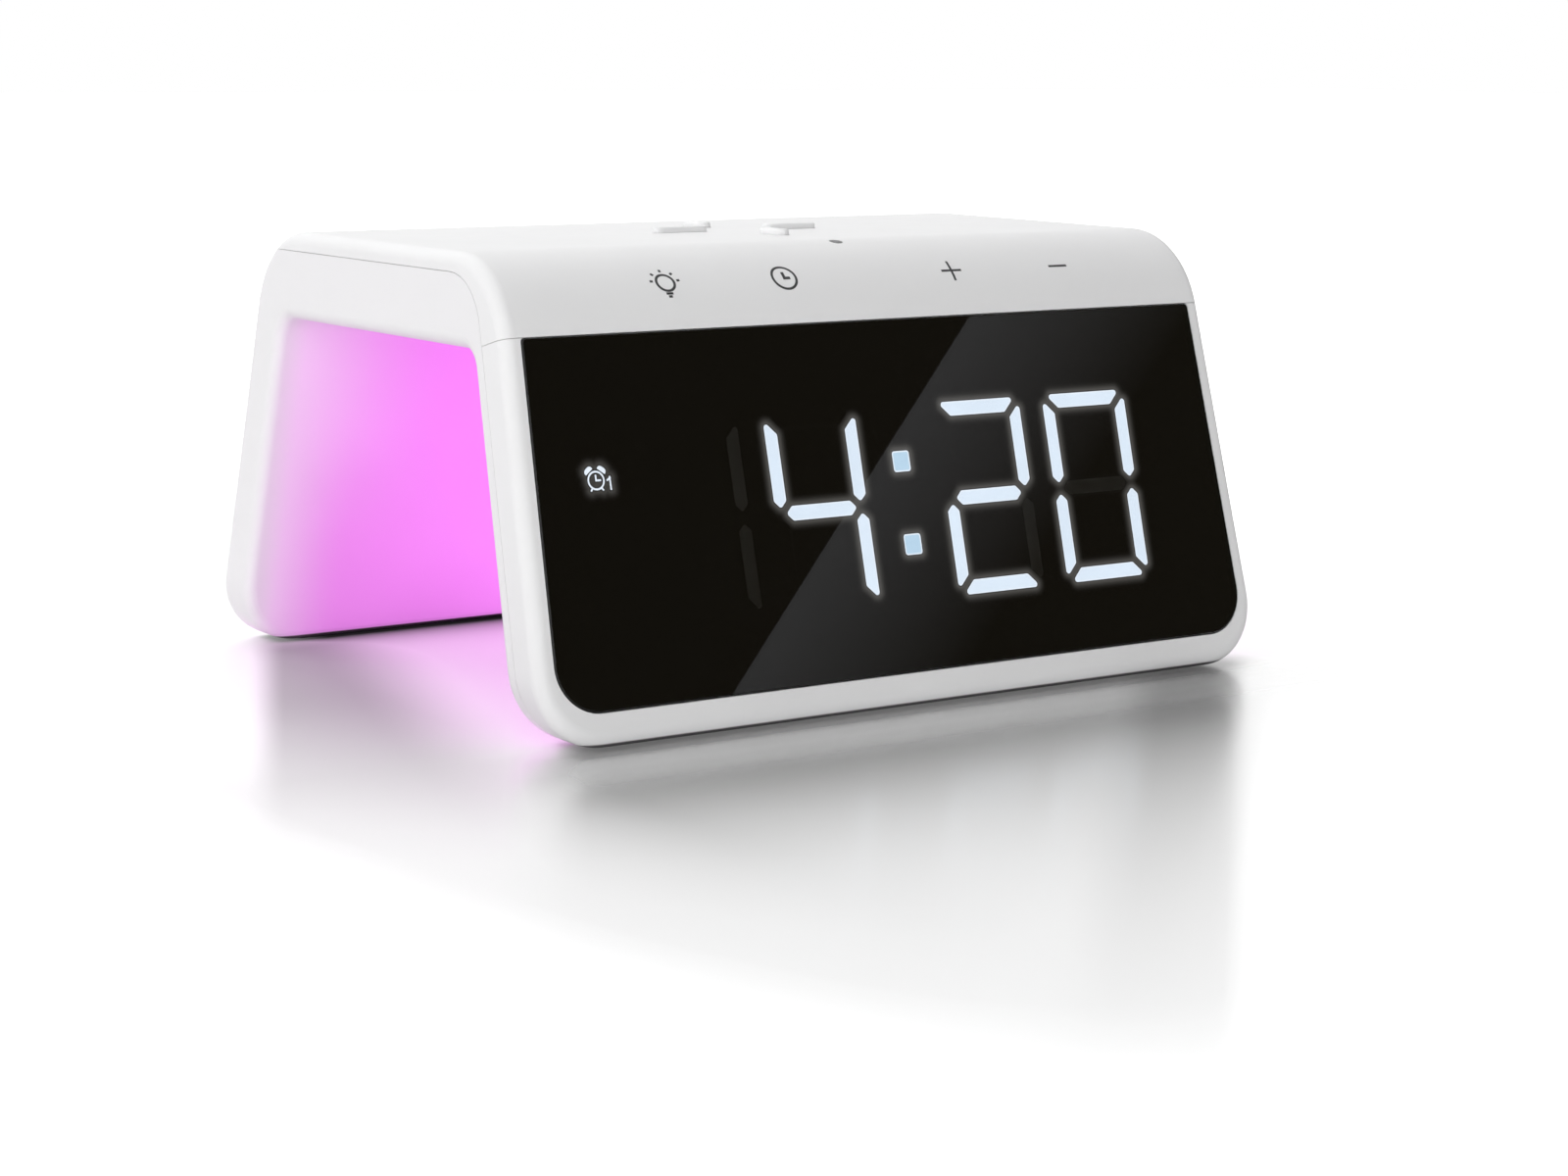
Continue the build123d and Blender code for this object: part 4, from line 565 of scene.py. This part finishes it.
def unlit_pipe(grain):
    """Unlit light pipe: a little light leaks into those at the sides, not into those of the inner digits."""
    finish = moulded("segment_dark", UNLIT_TONE, 0.5, grain).set(Specular_IOR_Level=0.0)
    across = finish.split(finish.place())[0]
    side = finish.total(finish.remap(across, *LEAK_LEFT, 0, 1), finish.remap(across, *LEAK_RIGHT, 0, 1))
    return finish.colour(finish.mix(side, MASK_TONE, UNLIT_TONE))


def smoked_window(display):
    """Clear gloss plastic with a smoky tint."""
    finish = Finish("lens_black")
    finish.set(Roughness=0.0, Transmission_Weight=1.0, IOR=1.49)
    return finish.mottle(LENS_MOTTLE, display.smoke, LENS_SHIFT)


def mask_ink():
    """Black print on the rear and the edges of the window, lit where light spills on it."""
    finish = Finish("mask_ink").set(Specular_IOR_Level=0.0, Roughness=0.9, Emission_Strength=1.0)
    spill = finish.nodes.new("ShaderNodeAttribute")
    spill.attribute_name = SPILL_LAYER
    finish.link(spill.outputs["Color"], finish.shader.inputs["Emission Color"])
    return finish.mottle(MASK_MOTTLE, MASK_TONE, MASK_SHIFT)


# Plain mouldings: colour, roughness, and where they differ the height of the texture and the spread of tones
MOULDINGS = {
    "rubber_dark": ((0.025, 0.025, 0.027), 0.7, RUBBER_BUMP, 0.1),
    "grip_pale": ((0.88, 0.88, 0.885), 0.55, SATIN_BUMP),
    "indicator_dark": ((0.05, 0.05, 0.052), 0.3, GLOSS_BUMP),
    "reflector_black": ((0.012, 0.012, 0.012), 0.6),
    "pane_clear": ((0.25, 0.25, 0.25), 0.2),
    "board_green": ((0.02, 0.13, 0.06), 0.35, BOARD_BUMP, 0.2),
    "part_black": ((0.02, 0.02, 0.02), 0.5),
    "led_white": ((0.8, 0.78, 0.7), 0.4),
    "connector_cream": ((0.75, 0.7, 0.58), 0.45),
    "ribbon_white": ((0.8, 0.8, 0.8), 0.4),
    "ferrite": ((0.05, 0.05, 0.052), 0.6, BAKED_BUMP, 0.2),
    "foam_grey": ((0.09, 0.09, 0.095), 0.9, FOAM_BUMP, 0.25),
    "cone_dark": ((0.03, 0.03, 0.032), 0.7, RUBBER_BUMP, 0.15),
}

# Grain of the mouldings that are finer or coarser than the shell
GRAIN_SHARES = {"grip_pale": 0.6, "foam_grey": 1.5}

# Metals: colour and roughness
METALS = {
    "copper": ((0.8, 0.38, 0.2), 0.3),
    "steel": ((0.6, 0.6, 0.61), 0.3),
    "can_aluminium": ((0.8, 0.8, 0.81), 0.25),
}


def slot_finishes(look, display):
    """One finish for every material slot of the record."""
    grain = look.grain
    shell = moulded("shell_white", look.shell, look.shell_roughness, grain)
    finishes = {
        "shell_white": shell.set(Specular_IOR_Level=look.shell_gloss).dark_sole(look.sole),
        "rear_white": moulded("rear_white", look.shell, look.rear_roughness, grain, SATIN_BUMP),
        "milky_light": milky_housing(look),
        "lens_black": smoked_window(display),
        "segment_lit": glowing("segment_lit", display.rim_colour, display.lit_power),
        "segment_dark": unlit_pipe(grain),
    }
    for name, (tone, roughness, *texture) in MOULDINGS.items():
        finishes[name] = moulded(name, tone, roughness, GRAIN_SHARES.get(name, 1) * grain, *texture)
    for name, (tone, roughness) in METALS.items():
        finishes[name] = metal(name, tone, roughness, grain)
    return finishes


# Outlines and meshes

def rounded(points, radii, steps):
    """Closed outline with straight sides, each corner turned with its own radius."""
    result = []
    count = len(points)
    for i, radius in enumerate(radii):
        corner = Vector(points[i])
        before = (Vector(points[i - 1]) - corner).normalized()
        after = (Vector(points[(i + 1) % count]) - corner).normalized()
        half = before.angle(after) / 2
        middle = corner + (before + after).normalized() * (radius / math.sin(half))
        start = corner + before * (radius / math.tan(half)) - middle
        turn = math.pi - 2 * half
        for step in range(steps + 1):
            swing = Matrix.Rotation(turn * step / steps, 2)
            result.append(tuple(middle + swing @ start))
    return result


def face_loops(name):
    """Outlines of a display node's front faces, in millimetres across and up the face."""
    mesh = node_mesh(name)
    places = [on_face(v.co) for v in mesh.vertices]
    nearest = min(p[2] for p in places)
    edges = {}
    for polygon in mesh.polygons:
        if polygon.normal.dot(OUTWARD) < FACING_SHARE:
            continue
        if max(places[i][2] for i in polygon.vertices) > nearest + FLAT:
            continue
        keys = [tuple(round(c / MM, LOOP_DIGITS) for c in places[i][:2]) for i in polygon.vertices]
        for a, b in zip(keys, keys[1:] + keys[:1]):
            if (b, a) in edges:
                del edges[(b, a)]
            else:
                edges[(a, b)] = True
    following = dict(edges.keys())
    loops = []
    while following:
        start, place = following.popitem()
        loop = [start]
        while place != start:
            loop.append(place)
            place = following.pop(place)
        loops.append(loop)
    return loops


def inset_loop(loop, distance):
    """The same outline moved inwards by a distance."""
    result = []
    count = len(loop)
    for i in range(count):
        here = Vector(loop[i])
        before = (here - Vector(loop[i - 1])).normalized()
        after = (Vector(loop[(i + 1) % count]) - here).normalized()
        inward = Vector((-before.y - after.y, before.x + after.x))
        reach = max(inward.length_squared / 2, LEAST_TURN_SHARE)
        result.append(tuple(here + inward * (distance / reach)))
    return result


def finish_object(name, mesh_maker, materials):
    """Mesh object from a bmesh, riding on the clock's body."""
    mesh = bpy.data.meshes.new(name)
    bmesh.ops.recalc_face_normals(mesh_maker, faces=mesh_maker.faces)
    mesh_maker.to_mesh(mesh)
    mesh_maker.free()
    for material in materials:
        mesh.materials.append(material)
    piece = bpy.data.objects.new(name, mesh)
    bpy.context.scene.collection.objects.link(piece)
    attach(piece, "base")
    return piece


def add_ring(maker, loop, depth):
    return [maker.verts.new(from_face(x, y, depth)) for x, y in loop]


def bridge(maker, first, second, material=0, smooth=False):
    """Strip of four-sided faces between two like rings."""
    count = len(first)
    for i in range(count):
        j = (i + 1) % count
        face = maker.faces.new((first[i], first[j], second[j], second[i]))
        face.material_index = material
        face.smooth = smooth


def find_material(name):
    material = bpy.data.materials.get(FINISH_NAME.format(name))
    if material is None:
        raise RuntimeError(f"the finish {name} is missing; apply the finishes first")
    return material


def lens_outline(display, inset, steps=LENS_STEPS):
    """Outline of the display window, in metres on the display face."""
    places = [on_face(v.co) for v in node_mesh("display_lens").vertices]
    low = min(p[1] for p in places)
    high = max(p[1] for p in places)
    top_band = high - TOP_BAND_SHARE * display.lens_top_corner
    narrow = max(abs(p[0]) for p in places if p[1] > top_band)
    slope = math.cos(FRONT_LEAN) * math.tan(END_TAPER)
    wide = narrow + (high - low) * slope - inset
    narrow -= inset
    low += inset
    high -= inset
    corner = max(display.lens_corner - inset, inset)
    top = max(display.lens_top_corner - inset, LEAST_CORNER)
    points = [(-wide, low), (wide, low), (narrow, high), (-narrow, high)]
    return rounded(points, (corner, corner, top, top), steps)


def edge_distances(points, loops):
    """Distance of every point to each outline, one row for each outline."""
    rows = []
    for loop in loops:
        a = np.array(loop)
        b = np.roll(a, -1, axis=0)
        run = b - a
        gap = points[:, None, :] - a[None]
        t = np.clip((gap * run).sum(2) / (run * run).sum(1), 0, 1)
        rows.append(np.sqrt(((gap - t[..., None] * run) ** 2).sum(2)).min(1))
    return np.array(rows)


def inside(points, loops):
    """Whether each point lies in an odd number of the outlines."""
    odd = np.zeros(len(points), bool)
    for loop in loops:
        a = np.array(loop)
        b = np.roll(a, -1, axis=0)
        x, y = points[:, :1], points[:, 1:]
        spans = (a[:, 1] > y) != (b[:, 1] > y)
        rise = np.where(b[:, 1] == a[:, 1], 1, b[:, 1] - a[:, 1])
        cross = (b[:, 0] - a[:, 0]) * (y - a[:, 1]) / rise + a[:, 0]
        odd ^= (np.sum(spans & (x < cross), axis=1) % 2).astype(bool)
    return odd


# Operators

class CLOCK_OT_finishes(bpy.types.Operator):
    """Give every node of the clock the finish of its material slot"""
    bl_idname = "clock.finishes"
    bl_label = "Apply finishes"

    def execute(self, context):
        scene = context.scene
        finishes = slot_finishes(scene.clock_finish, scene.clock_display)
        mask_ink()
        slots = {part["node"]: part["material_slot"] for part in frame["record"]["subparts"]}
        for name, item in frame["nodes"].items():
            finish = finishes.get(slots.get(name))
            if finish is None:
                raise RuntimeError(f"no finish for {name}")
            item.data.materials.clear()
            item.data.materials.append(finish.material)
        return {"FINISHED"}


class CLOCK_OT_display_window(bpy.types.Operator):
    """Make the smoked window with its softly rounded edge"""
    bl_idname = "clock.display_window"
    bl_label = "Display window"

    def execute(self, context):
        display = context.scene.clock_display
        maker = bmesh.new()
        rings = []
        for step in range(EDGE_STEPS + 1):
            turn = math.pi / 2 * step / EDGE_STEPS
            inset = display.lens_edge * (1 - math.sin(turn))
            depth = display.lens_edge * (1 - math.cos(turn)) - LENS_PROUD
            rings.append(add_ring(maker, lens_outline(display, inset), depth))
        for inset, depth in ((0, display.lens_back), (display.lens_rim, display.lens_back),
                             (display.lens_rim, display.lens_pane)):
            rings.append(add_ring(maker, lens_outline(display, inset), depth))
        maker.faces.new(rings[0])
        maker.faces.new(rings[-1])
        for i, (first, second) in enumerate(zip(rings, rings[1:])):
            bridge(maker, first, second, material=int(i >= EDGE_STEPS), smooth=i < EDGE_STEPS)
        materials = [find_material("lens_black"), find_material("mask_ink")]
        window = finish_object("display_window", maker, materials)
        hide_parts("display_lens")
        return {"FINISHED"}


class CLOCK_OT_segment_lights(bpy.types.Operator):
    """Make the lit segments and the colon, each with a bright rim"""
    bl_idname = "clock.segment_lights"
    bl_label = "Lit segments"

    def execute(self, context):
        display = context.scene.clock_display
        maker = bmesh.new()
        front = min(on_face(v.co)[2] for v in node_mesh("lit_segments").vertices)
        shapes = [(loop, 1) for loop in face_loops("lit_segments")]
        shapes += [(loop, 2) for loop in face_loops("colon_dots")]
        for loop, material in shapes:
            edge = [(x * MM, y * MM) for x, y in loop]
            outer = add_ring(maker, edge, front)
            inner = add_ring(maker, inset_loop(edge, display.segment_rim), front)
            back = add_ring(maker, edge, front + display.segment_depth)
            bridge(maker, outer, inner)
            bridge(maker, outer, back)
            maker.faces.new(back)
            maker.faces.new(inner).material_index = material
        middle = glowing("segment_middle", display.lit_colour, display.lit_power).material
        dots = glowing("colon_middle", display.colon_colour, display.lit_power).material
        materials = [find_material("segment_lit"), middle, dots]
        lights = finish_object("segment_lights", maker, materials)
        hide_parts("lit_segments", "colon_dots")
        return {"FINISHED"}


class CLOCK_OT_display_mask(bpy.types.Operator):
    """Make the black mask behind the window, cut out at the segments, with the light that spills on it"""
    bl_idname = "clock.display_mask"
    bl_label = "Display mask"

    def execute(self, context):
        display = context.scene.clock_display
        lit = face_loops("lit_segments") + face_loops("colon_dots")
        mark = face_loops("alarm_mark")
        dark = face_loops("unlit_segments")
        windows = lit + mark + dark
        border = [(x / MM, y / MM) for x, y in lens_outline(display, display.mask_inset, MASK_STEPS)]
        points, edges = [], []
        for loop in windows + [border]:
            first = len(points)
            points.extend(loop)
            edges.extend((first + i, first + (i + 1) % len(loop)) for i in range(len(loop)))
        extra = self.spill_points(display, lit + mark, windows)
        vertices = [Vector(p) for p in points] + [Vector(p) for p in extra]
        plane, _, faces, *_ = delaunay_2d_cdt(vertices, edges, [], 0, NET_MERGE)
        flat = np.array([tuple(p) for p in plane])
        middles = np.array([flat[list(face)].mean(0) for face in faces])
        kept = inside(middles, [border]) & ~inside(middles, windows)
        glow = self.spill(display, flat, lit, mark)
        maker = bmesh.new()
        tone = maker.verts.layers.float_color.new(SPILL_LAYER)
        corners = []
        for (x, y), power in zip(flat, glow):
            vertex = maker.verts.new(from_face(x * MM, y * MM, display.mask_depth))
            vertex[tone] = (*(c * power for c in display.glow_colour), 1)
            corners.append(vertex)
        for face, keep in zip(faces, kept):
            if keep:
                maker.faces.new([corners[i] for i in face])
        loose = [v for v in maker.verts if not v.link_faces]
        bmesh.ops.delete(maker, geom=loose, context="VERTS")
        finish_object("display_mask", maker, [find_material("mask_ink")])
        return {"FINISHED"}

    def spill_points(self, display, bright, windows):
        """Points of an even net near the lit shapes, and a row close along their edges."""
        step = display.glow_step / MM
        reach = display.glow_reach / MM
        gap = display.glow_gap / MM
        corners = np.array([p for loop in bright for p in loop])
        low = corners.min(0) - reach - 2 * step
        high = corners.max(0) + reach + 2 * step
        xs = np.arange(low[0], high[0], step)
        ys = np.arange(low[1], high[1], step)
        net = np.array([(x + step / 2 * (i % 2), y) for i, y in enumerate(ys) for x in xs])
        rows = []
        for loop in bright:
            outer = inset_loop(loop, -gap)
            for a, b in zip(outer, outer[1:] + outer[:1]):
                count = max(1, round(math.dist(a, b) / step))
                run = (b[0] - a[0], b[1] - a[1])
                rows.extend((a[0] + run[0] * i / count, a[1] + run[1] * i / count) for i in range(count))
        rows = np.array(rows)
        near = edge_distances(net, bright).min(0)
        net = net[(near < reach + 2 * step) & (near > NET_CLEAR_SHARE * gap)]
        net = net[edge_distances(net, windows).min(0) > gap]
        rows = rows[edge_distances(rows, windows).min(0) > ROW_CLEAR_SHARE * gap]
        every = np.concatenate([net, rows])
        return [tuple(p) for p in every[~inside(every, windows)]]

    def spill(self, display, points, lit, mark):
        """Strength of the spilt light at each point, from all lit shapes together."""
        reach = display.glow_reach / MM
        gap = display.glow_gap / MM

        def fall(distance):
            fade = np.clip(1 - (distance - gap) / (reach - gap), 0, 1) ** SPILL_FADE_POWER
            return np.where(distance < gap / 2, SPILL_EDGE_SHARE, fade)

        rows = fall(edge_distances(points, lit))
        total = 1 - np.prod(1 - SPILL_ROW_SHARE * rows, axis=0)
        small = fall(edge_distances(points, mark).min(0))
        return display.glow_power * np.maximum(total, display.mark_share * small)


class CLOCK_OT_touch_marks(bpy.types.Operator):
    """Print the four touch marks on the front bend"""
    bl_idname = "clock.touch_marks"
    bl_label = "Touch marks"

    def execute(self, context):
        marks = context.scene.clock_marks
        look = context.scene.clock_finish
        ink = moulded("touch_ink", marks.ink_colour, 0.5, look.grain)
        for name, strips in self.drawings(marks).items():
            maker = bmesh.new()
            across = getattr(marks, f"{name}_across")
            for strip in strips:
                self.print_strip(maker, marks, across, strip)
            finish_object(f"touch_mark_{name}", maker, [ink.material])
        return {"FINISHED"}

    def drawings(self, marks):
        """Each mark as strips of paired points, in metres across and up the bend."""
        line = marks.line

        def bar(x0, y0, x1, y1, parts=BAR_STEPS, width=line):
            run = Vector((x1 - x0, y1 - y0))
            side = Vector((-run.y, run.x)).normalized() * (width / 2)
            strip = []
            for i in range(parts + 1):
                middle = Vector((x0, y0)) + run * (i / parts)
                strip.append((tuple(middle + side), tuple(middle - side)))
            return strip

        def ring(radius):
            strip = []
            for i in range(RING_STEPS + 1):
                turn = math.radians(FULL_TURN * i / RING_STEPS)
                spoke = Vector((math.cos(turn), math.sin(turn)))
                strip.append((tuple(spoke * (radius - line / 2)), tuple(spoke * (radius + line / 2))))
            return strip

        bulb = [ring(marks.bulb_radius)]
        for turn in RAY_ANGLES:
            spoke = Vector((math.cos(math.radians(turn)), math.sin(math.radians(turn))))
            bulb.append(bar(*(spoke * RAY_START), *(spoke * RAY_END), 1))
        for half, drop in BULB_BARS:
            bulb.append(bar(-half, -drop, half, -drop, 1))
        low = -marks.hand_drop
        hands = [
            bar(0, low - marks.hand / 2, 0, low + marks.long_hand, width=marks.hand),
            bar(marks.hand / 2, low, marks.short_hand, low, width=marks.hand),
        ]
        plus = marks.plus_half
        return {
            "bulb": bulb,
            "clock": [ring(marks.clock_radius), *hands],
            "plus": [bar(-plus, 0, plus, 0), bar(0, line / 2, 0, plus), bar(0, -plus, 0, -line / 2)],
            "minus": [bar(-marks.minus_half, 0, marks.minus_half, 0)],
        }

    def print_strip(self, maker, marks, across, strip):
        """Thin closed strip of ink that follows the bend."""
        def place(point, height):
            turn = marks.row_angle - point[1] / marks.bend_radius
            reach = marks.bend_radius + height
            depth = marks.bend_depth - math.sin(turn) * reach
            return across + point[0], depth, marks.bend_height + math.cos(turn) * reach

        rows = []
        for left, right in strip:
            ends = ((left, marks.ink), (right, marks.ink), (right, -marks.ink), (left, -marks.ink))
            rows.append([maker.verts.new(place(p, h)) for p, h in ends])
        for first, second in zip(rows, rows[1:]):
            bridge(maker, first, second)
        if math.dist(strip[0][0], strip[-1][0]) < STRIP_CLOSED:
            bmesh.ops.remove_doubles(maker, verts=rows[0] + rows[-1], dist=STRIP_WELD)
        else:
            maker.faces.new(rows[0])
            maker.faces.new(rows[-1])


class CLOCK_OT_stage(bpy.types.Operator):
    """Set the white table, the soft lamps and the camera"""
    bl_idname = "clock.stage"
    bl_label = "Studio"

    def execute(self, context):
        stage = context.scene.clock_stage
        context.scene.view_settings.view_transform = "Standard"
        self.set_world(context, stage)
        self.set_floor(stage)
        self.set_card()
        self.set_lamps(stage)
        self.set_camera(context, stage)
        return {"FINISHED"}

    def set_world(self, context, stage):
        """White behind the clock for what sees it directly, a dimmer even fill for its light."""
        world = bpy.data.worlds.new("studio")
        context.scene.world = world
        world.use_nodes = True
        net = Net(world.node_tree)
        side = net.split(net.nodes.new("ShaderNodeTexCoord").outputs["Generated"])[0]
        fill = net.nodes.new("ShaderNodeBackground")
        fill.inputs["Color"].default_value = WHITE
        net.link(net.remap(side, -1, 1, stage.fill_left, stage.fill_right), fill.inputs["Strength"])
        backdrop = net.nodes["Background"]
        backdrop.inputs["Color"].default_value = WHITE
        backdrop.inputs["Strength"].default_value = 1.0
        path = net.nodes.new("ShaderNodeLightPath")
        seen = path.outputs["Is Camera Ray"]
        for name in ("Is Glossy Ray", "Is Transmission Ray"):
            seen = net.maths("MAXIMUM", seen, path.outputs[name])
        sky = net.blend(seen, fill.outputs["Background"], backdrop.outputs["Background"])
        net.link(sky, net.nodes["World Output"].inputs["Surface"])

    def flat(self, name, half, finish):
        """Square sheet about the origin, which isn't part of the clock."""
        mesh = bpy.data.meshes.new(name)
        corners = [(-half, -half, 0), (half, -half, 0), (half, half, 0), (-half, half, 0)]
        mesh.from_pydata(corners, [], [tuple(range(len(corners)))])
        mesh.materials.append(finish.material)
        item = bpy.data.objects.new(name, mesh)
        bpy.context.scene.collection.objects.link(item)
        return item

    def table_shadow(self, finish, stage, x, y):
        """Soft shadows beside the left ends of the legs, close to the rear leg and before the display leg."""
        low, high = cad_box
        ramp, product, total = finish.ramp, finish.product, finish.total
        inner = total(x, product(y, -INNER_LINE_SHARE))
        outer = total(x, product(y, -OUTER_LINE_SHARE))
        nearer = total(product(x, FORWARD.x), product(y, FORWARD.y))
        leg = product(
            ramp(inner, *INNER_FADE), ramp(outer, *OUTER_FADE), ramp(nearer, *FORWARD_FADE),
            ramp(y, high[1], high[1] - REAR_FADE), stage.shadow)
        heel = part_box("rear_foot")[0][1]
        behind = finish.maths("SUBTRACT", heel - HEEL_SETBACK, y)
        close = product(
            finish.fall(behind, stage.close_reach), stage.close,
            ramp(finish.maths("ABSOLUTE", x), *HEEL_ENDS), finish.remap(y, heel, heel + HEEL_FADE, 1, 0))
        ahead = finish.maths("SUBTRACT", low[1], y)
        left = total(x, product(ahead, LEFT_LINE_SHARE))
        right = total(x, product(ahead, RIGHT_LINE_SHARE))
        toe = product(
            finish.fall(ahead, stage.contact_reach), finish.remap(ahead, *TOE_FADE, TOE_SHARE, 1),
            stage.contact, ramp(left, *(low[0] + edge for edge in TOE_LEFT)),
            ramp(right, *(high[0] + edge for edge in TOE_RIGHT)))
        streak = product(
            ramp(right, *STREAK_LEFT), ramp(right, *STREAK_RIGHT),
            finish.remap(ahead, 0, stage.streak_length, stage.streak, 0))
        front = product(finish.remap(y, low[1], low[1] + UNDER_FADE, 1, 0), total(toe, streak))
        return finish.maths("MAXIMUM", finish.maths("MAXIMUM", leg, close), front)

    def table_gap(self, finish, stage, x, y):
        """Distance on the table from the clock's footprint, counted more to the sides."""
        high = cad_box[1]
        gaps = []
        for place, edge in ((x, high[0]), (y, high[1])):
            past = finish.maths("SUBTRACT", finish.maths("ABSOLUTE", place), edge)
            gaps.append(finish.maths("MAXIMUM", past, 0))
        across = finish.maths("POWER", finish.product(gaps[0], stage.side_squeeze), 2)
        return finish.maths("SQRT", finish.total(across, finish.maths("POWER", gaps[1], 2)))

    def table_mirror(self, finish, stage, x, y, gap):
        """How much of the clock the table mirrors: all in front, little under the arch and on the left."""
        low = cad_box[0]
        tunnel = (low[1] + edge for edge in TUNNEL_FADE)
        under = finish.remap(y, *tunnel, stage.sheen, stage.sheen * stage.tunnel_sheen)
        ahead = finish.maths("SUBTRACT", low[1], y)
        left = finish.total(x, finish.product(ahead, LEFT_LINE_SHARE))
        beside = finish.remap(left, low[0] - BESIDE_FADE, low[0] + BESIDE_FADE, BESIDE_SHARE, 1)
        return finish.product(under, beside, finish.fall(gap, stage.sheen_reach))

    def table_white(self, finish, x, y, gap):
        """How much whiter the table looks far from the clock, to its right and to its left; to its right this
        is painted light that lifts the lamps' shadow.
        """
        low = cad_box[0]
        far = finish.remap(gap, *FAR_FADE, *FAR_WHITE)
        ahead = finish.maths("MAXIMUM", finish.maths("SUBTRACT", low[1], y), 0)
        sideways = finish.total(x, finish.product(ahead, RIGHT_LINE_SHARE))
        right = finish.remap(sideways, *RIGHT_FADE, 0, RIGHT_PAINTED_LIGHT)
        left = finish.product(
            finish.remap(x, low[0], LEFT_FADE, 0, LEFT_WHITE), finish.remap(y, *LEFT_REAR_FADE, 0, 1))
        return finish.total(far, right, left)

    def set_floor(self, stage):
        """White table with a blurred sheen, whiter away from the clock."""
        finish = Finish("table_white")
        finish.set(Base_Color=(*stage.floor, 1), Roughness=0.9, Emission_Color=WHITE)
        x, y, _ = finish.split(finish.place())
        gap = self.table_gap(finish, stage, x, y)
        seen = finish.nodes.new("ShaderNodeLightPath").outputs["Is Camera Ray"]
        white = finish.product(self.table_white(finish, x, y, gap), seen)
        finish.link(white, finish.shader.inputs["Emission Strength"])
        sheen = finish.nodes.new("ShaderNodeBsdfGlossy")
        sheen.inputs["Color"].default_value = WHITE
        finish.link(finish.drift(TABLE_DRIFT, *TABLE_ROUGHNESS), sheen.inputs["Roughness"])
        mirror = finish.product(self.table_mirror(finish, stage, x, y, gap), seen)
        table = finish.blend(mirror, finish.shader.outputs["BSDF"], sheen.outputs["BSDF"])
        dark = finish.nodes.new("ShaderNodeBsdfDiffuse")
        dark.inputs["Color"].default_value = BLACK
        shaded = finish.blend(self.table_shadow(finish, stage, x, y), table, dark.outputs["BSDF"])
        finish.link(shaded, finish.nodes["Material Output"].inputs["Surface"])
        self.flat("table", TABLE_REACH, finish)

    def set_card(self):
        """Dark card in front on the right, which the window mirrors, paler past a slanting edge."""
        finish = Finish("card_dark").set(Base_Color=BLACK, Specular_IOR_Level=0.0, Emission_Strength=1.0)
        u, v, _ = finish.split(finish.place())
        slant = finish.total(finish.product(u, CARD_SLANT.x), finish.product(v, CARD_SLANT.y))
        past = finish.maths("SUBTRACT", CARD_EDGE, slant)
        band = finish.product(finish.remap(past, *CARD_FADE, 1, 0), finish.maths("GREATER_THAN", past, 0))
        finish.link(finish.mix(band, CARD_DARK, CARD_PALE), finish.shader.inputs["Emission Color"])
        card = self.flat("dark_card", CARD_HALF, finish)
        side = Vector((0, 0, 1)).cross(CARD_FACING).normalized()
        turn = Matrix((side, CARD_FACING.cross(side), CARD_FACING)).transposed()
        card.matrix_world = Matrix.Translation(CARD_PLACE) @ turn.to_4x4()
        card.visible_camera = False
        card.visible_diffuse = False
        card.visible_shadow = False

    def set_lamps(self, stage):
        for name, (place, width) in LAMPS.items():
            data = bpy.data.lights.new(f"lamp_{name}", "AREA")
            data.shape = "SQUARE"
            data.size = width
            data.energy = getattr(stage, f"{name}_power")
            lamp = bpy.data.objects.new(data.name, data)
            lamp.location = place
            lamp.rotation_euler = (LAMP_AIM - Vector(place)).to_track_quat("-Z", "Y").to_euler()
            lamp.visible_glossy = False
            bpy.context.scene.collection.objects.link(lamp)

    def set_camera(self, context, stage):
        az, el = stage.azimuth, stage.elevation
        back = Vector((math.sin(az) * math.cos(el), -math.cos(az) * math.cos(el), math.sin(el)))
        right = Vector((math.cos(az), math.sin(az), 0))
        up = back.cross(right)
        cos_roll, sin_roll = math.cos(stage.roll), math.sin(stage.roll)
        turn = Matrix((right * cos_roll + up * sin_roll, up * cos_roll - right * sin_roll, back)).transposed()
        data = bpy.data.cameras.new("camera")
        data.sensor_width = SENSOR_WIDTH
        data.lens = stage.focal
        camera = bpy.data.objects.new("camera", data)
        camera.matrix_world = Matrix.Translation(stage.eye) @ turn.to_4x4()
        context.scene.collection.objects.link(camera)
        context.scene.camera = camera


OPERATORS = (
    CLOCK_OT_finishes,
    CLOCK_OT_display_window,
    CLOCK_OT_segment_lights,
    CLOCK_OT_display_mask,
    CLOCK_OT_touch_marks,
    CLOCK_OT_stage,
)


class CLOCK_PT_dresser(bpy.types.Panel):
    """Lists the steps that dress the clock"""
    bl_idname = "CLOCK_PT_dresser"
    bl_label = "Clock dresser"
    bl_space_type = "VIEW_3D"
    bl_region_type = "UI"
    bl_category = "Clock"

    def draw(self, context):
        for operator in OPERATORS:
            self.layout.operator(operator.bl_idname)
        for group in GROUPS:
            box = self.layout.box()
            settings = getattr(context.scene, group)
            for name in settings.__annotations__:
                box.prop(settings, name)


CLASSES = (*GROUPS.values(), *OPERATORS, CLOCK_PT_dresser)


def register():
    for cls in CLASSES:
        bpy.utils.register_class(cls)
    for name, group in GROUPS.items():
        setattr(bpy.types.Scene, name, PointerProperty(type=group))


def unregister():
    for name in GROUPS:
        delattr(bpy.types.Scene, name)
    for cls in reversed(CLASSES):
        bpy.utils.unregister_class(cls)


def main():
    register()
    bpy.ops.clock.finishes()
    bpy.ops.clock.display_window()
    bpy.ops.clock.segment_lights()
    bpy.ops.clock.display_mask()
    bpy.ops.clock.touch_marks()
    bpy.ops.clock.stage()


if __name__ == "__main__":
    main()
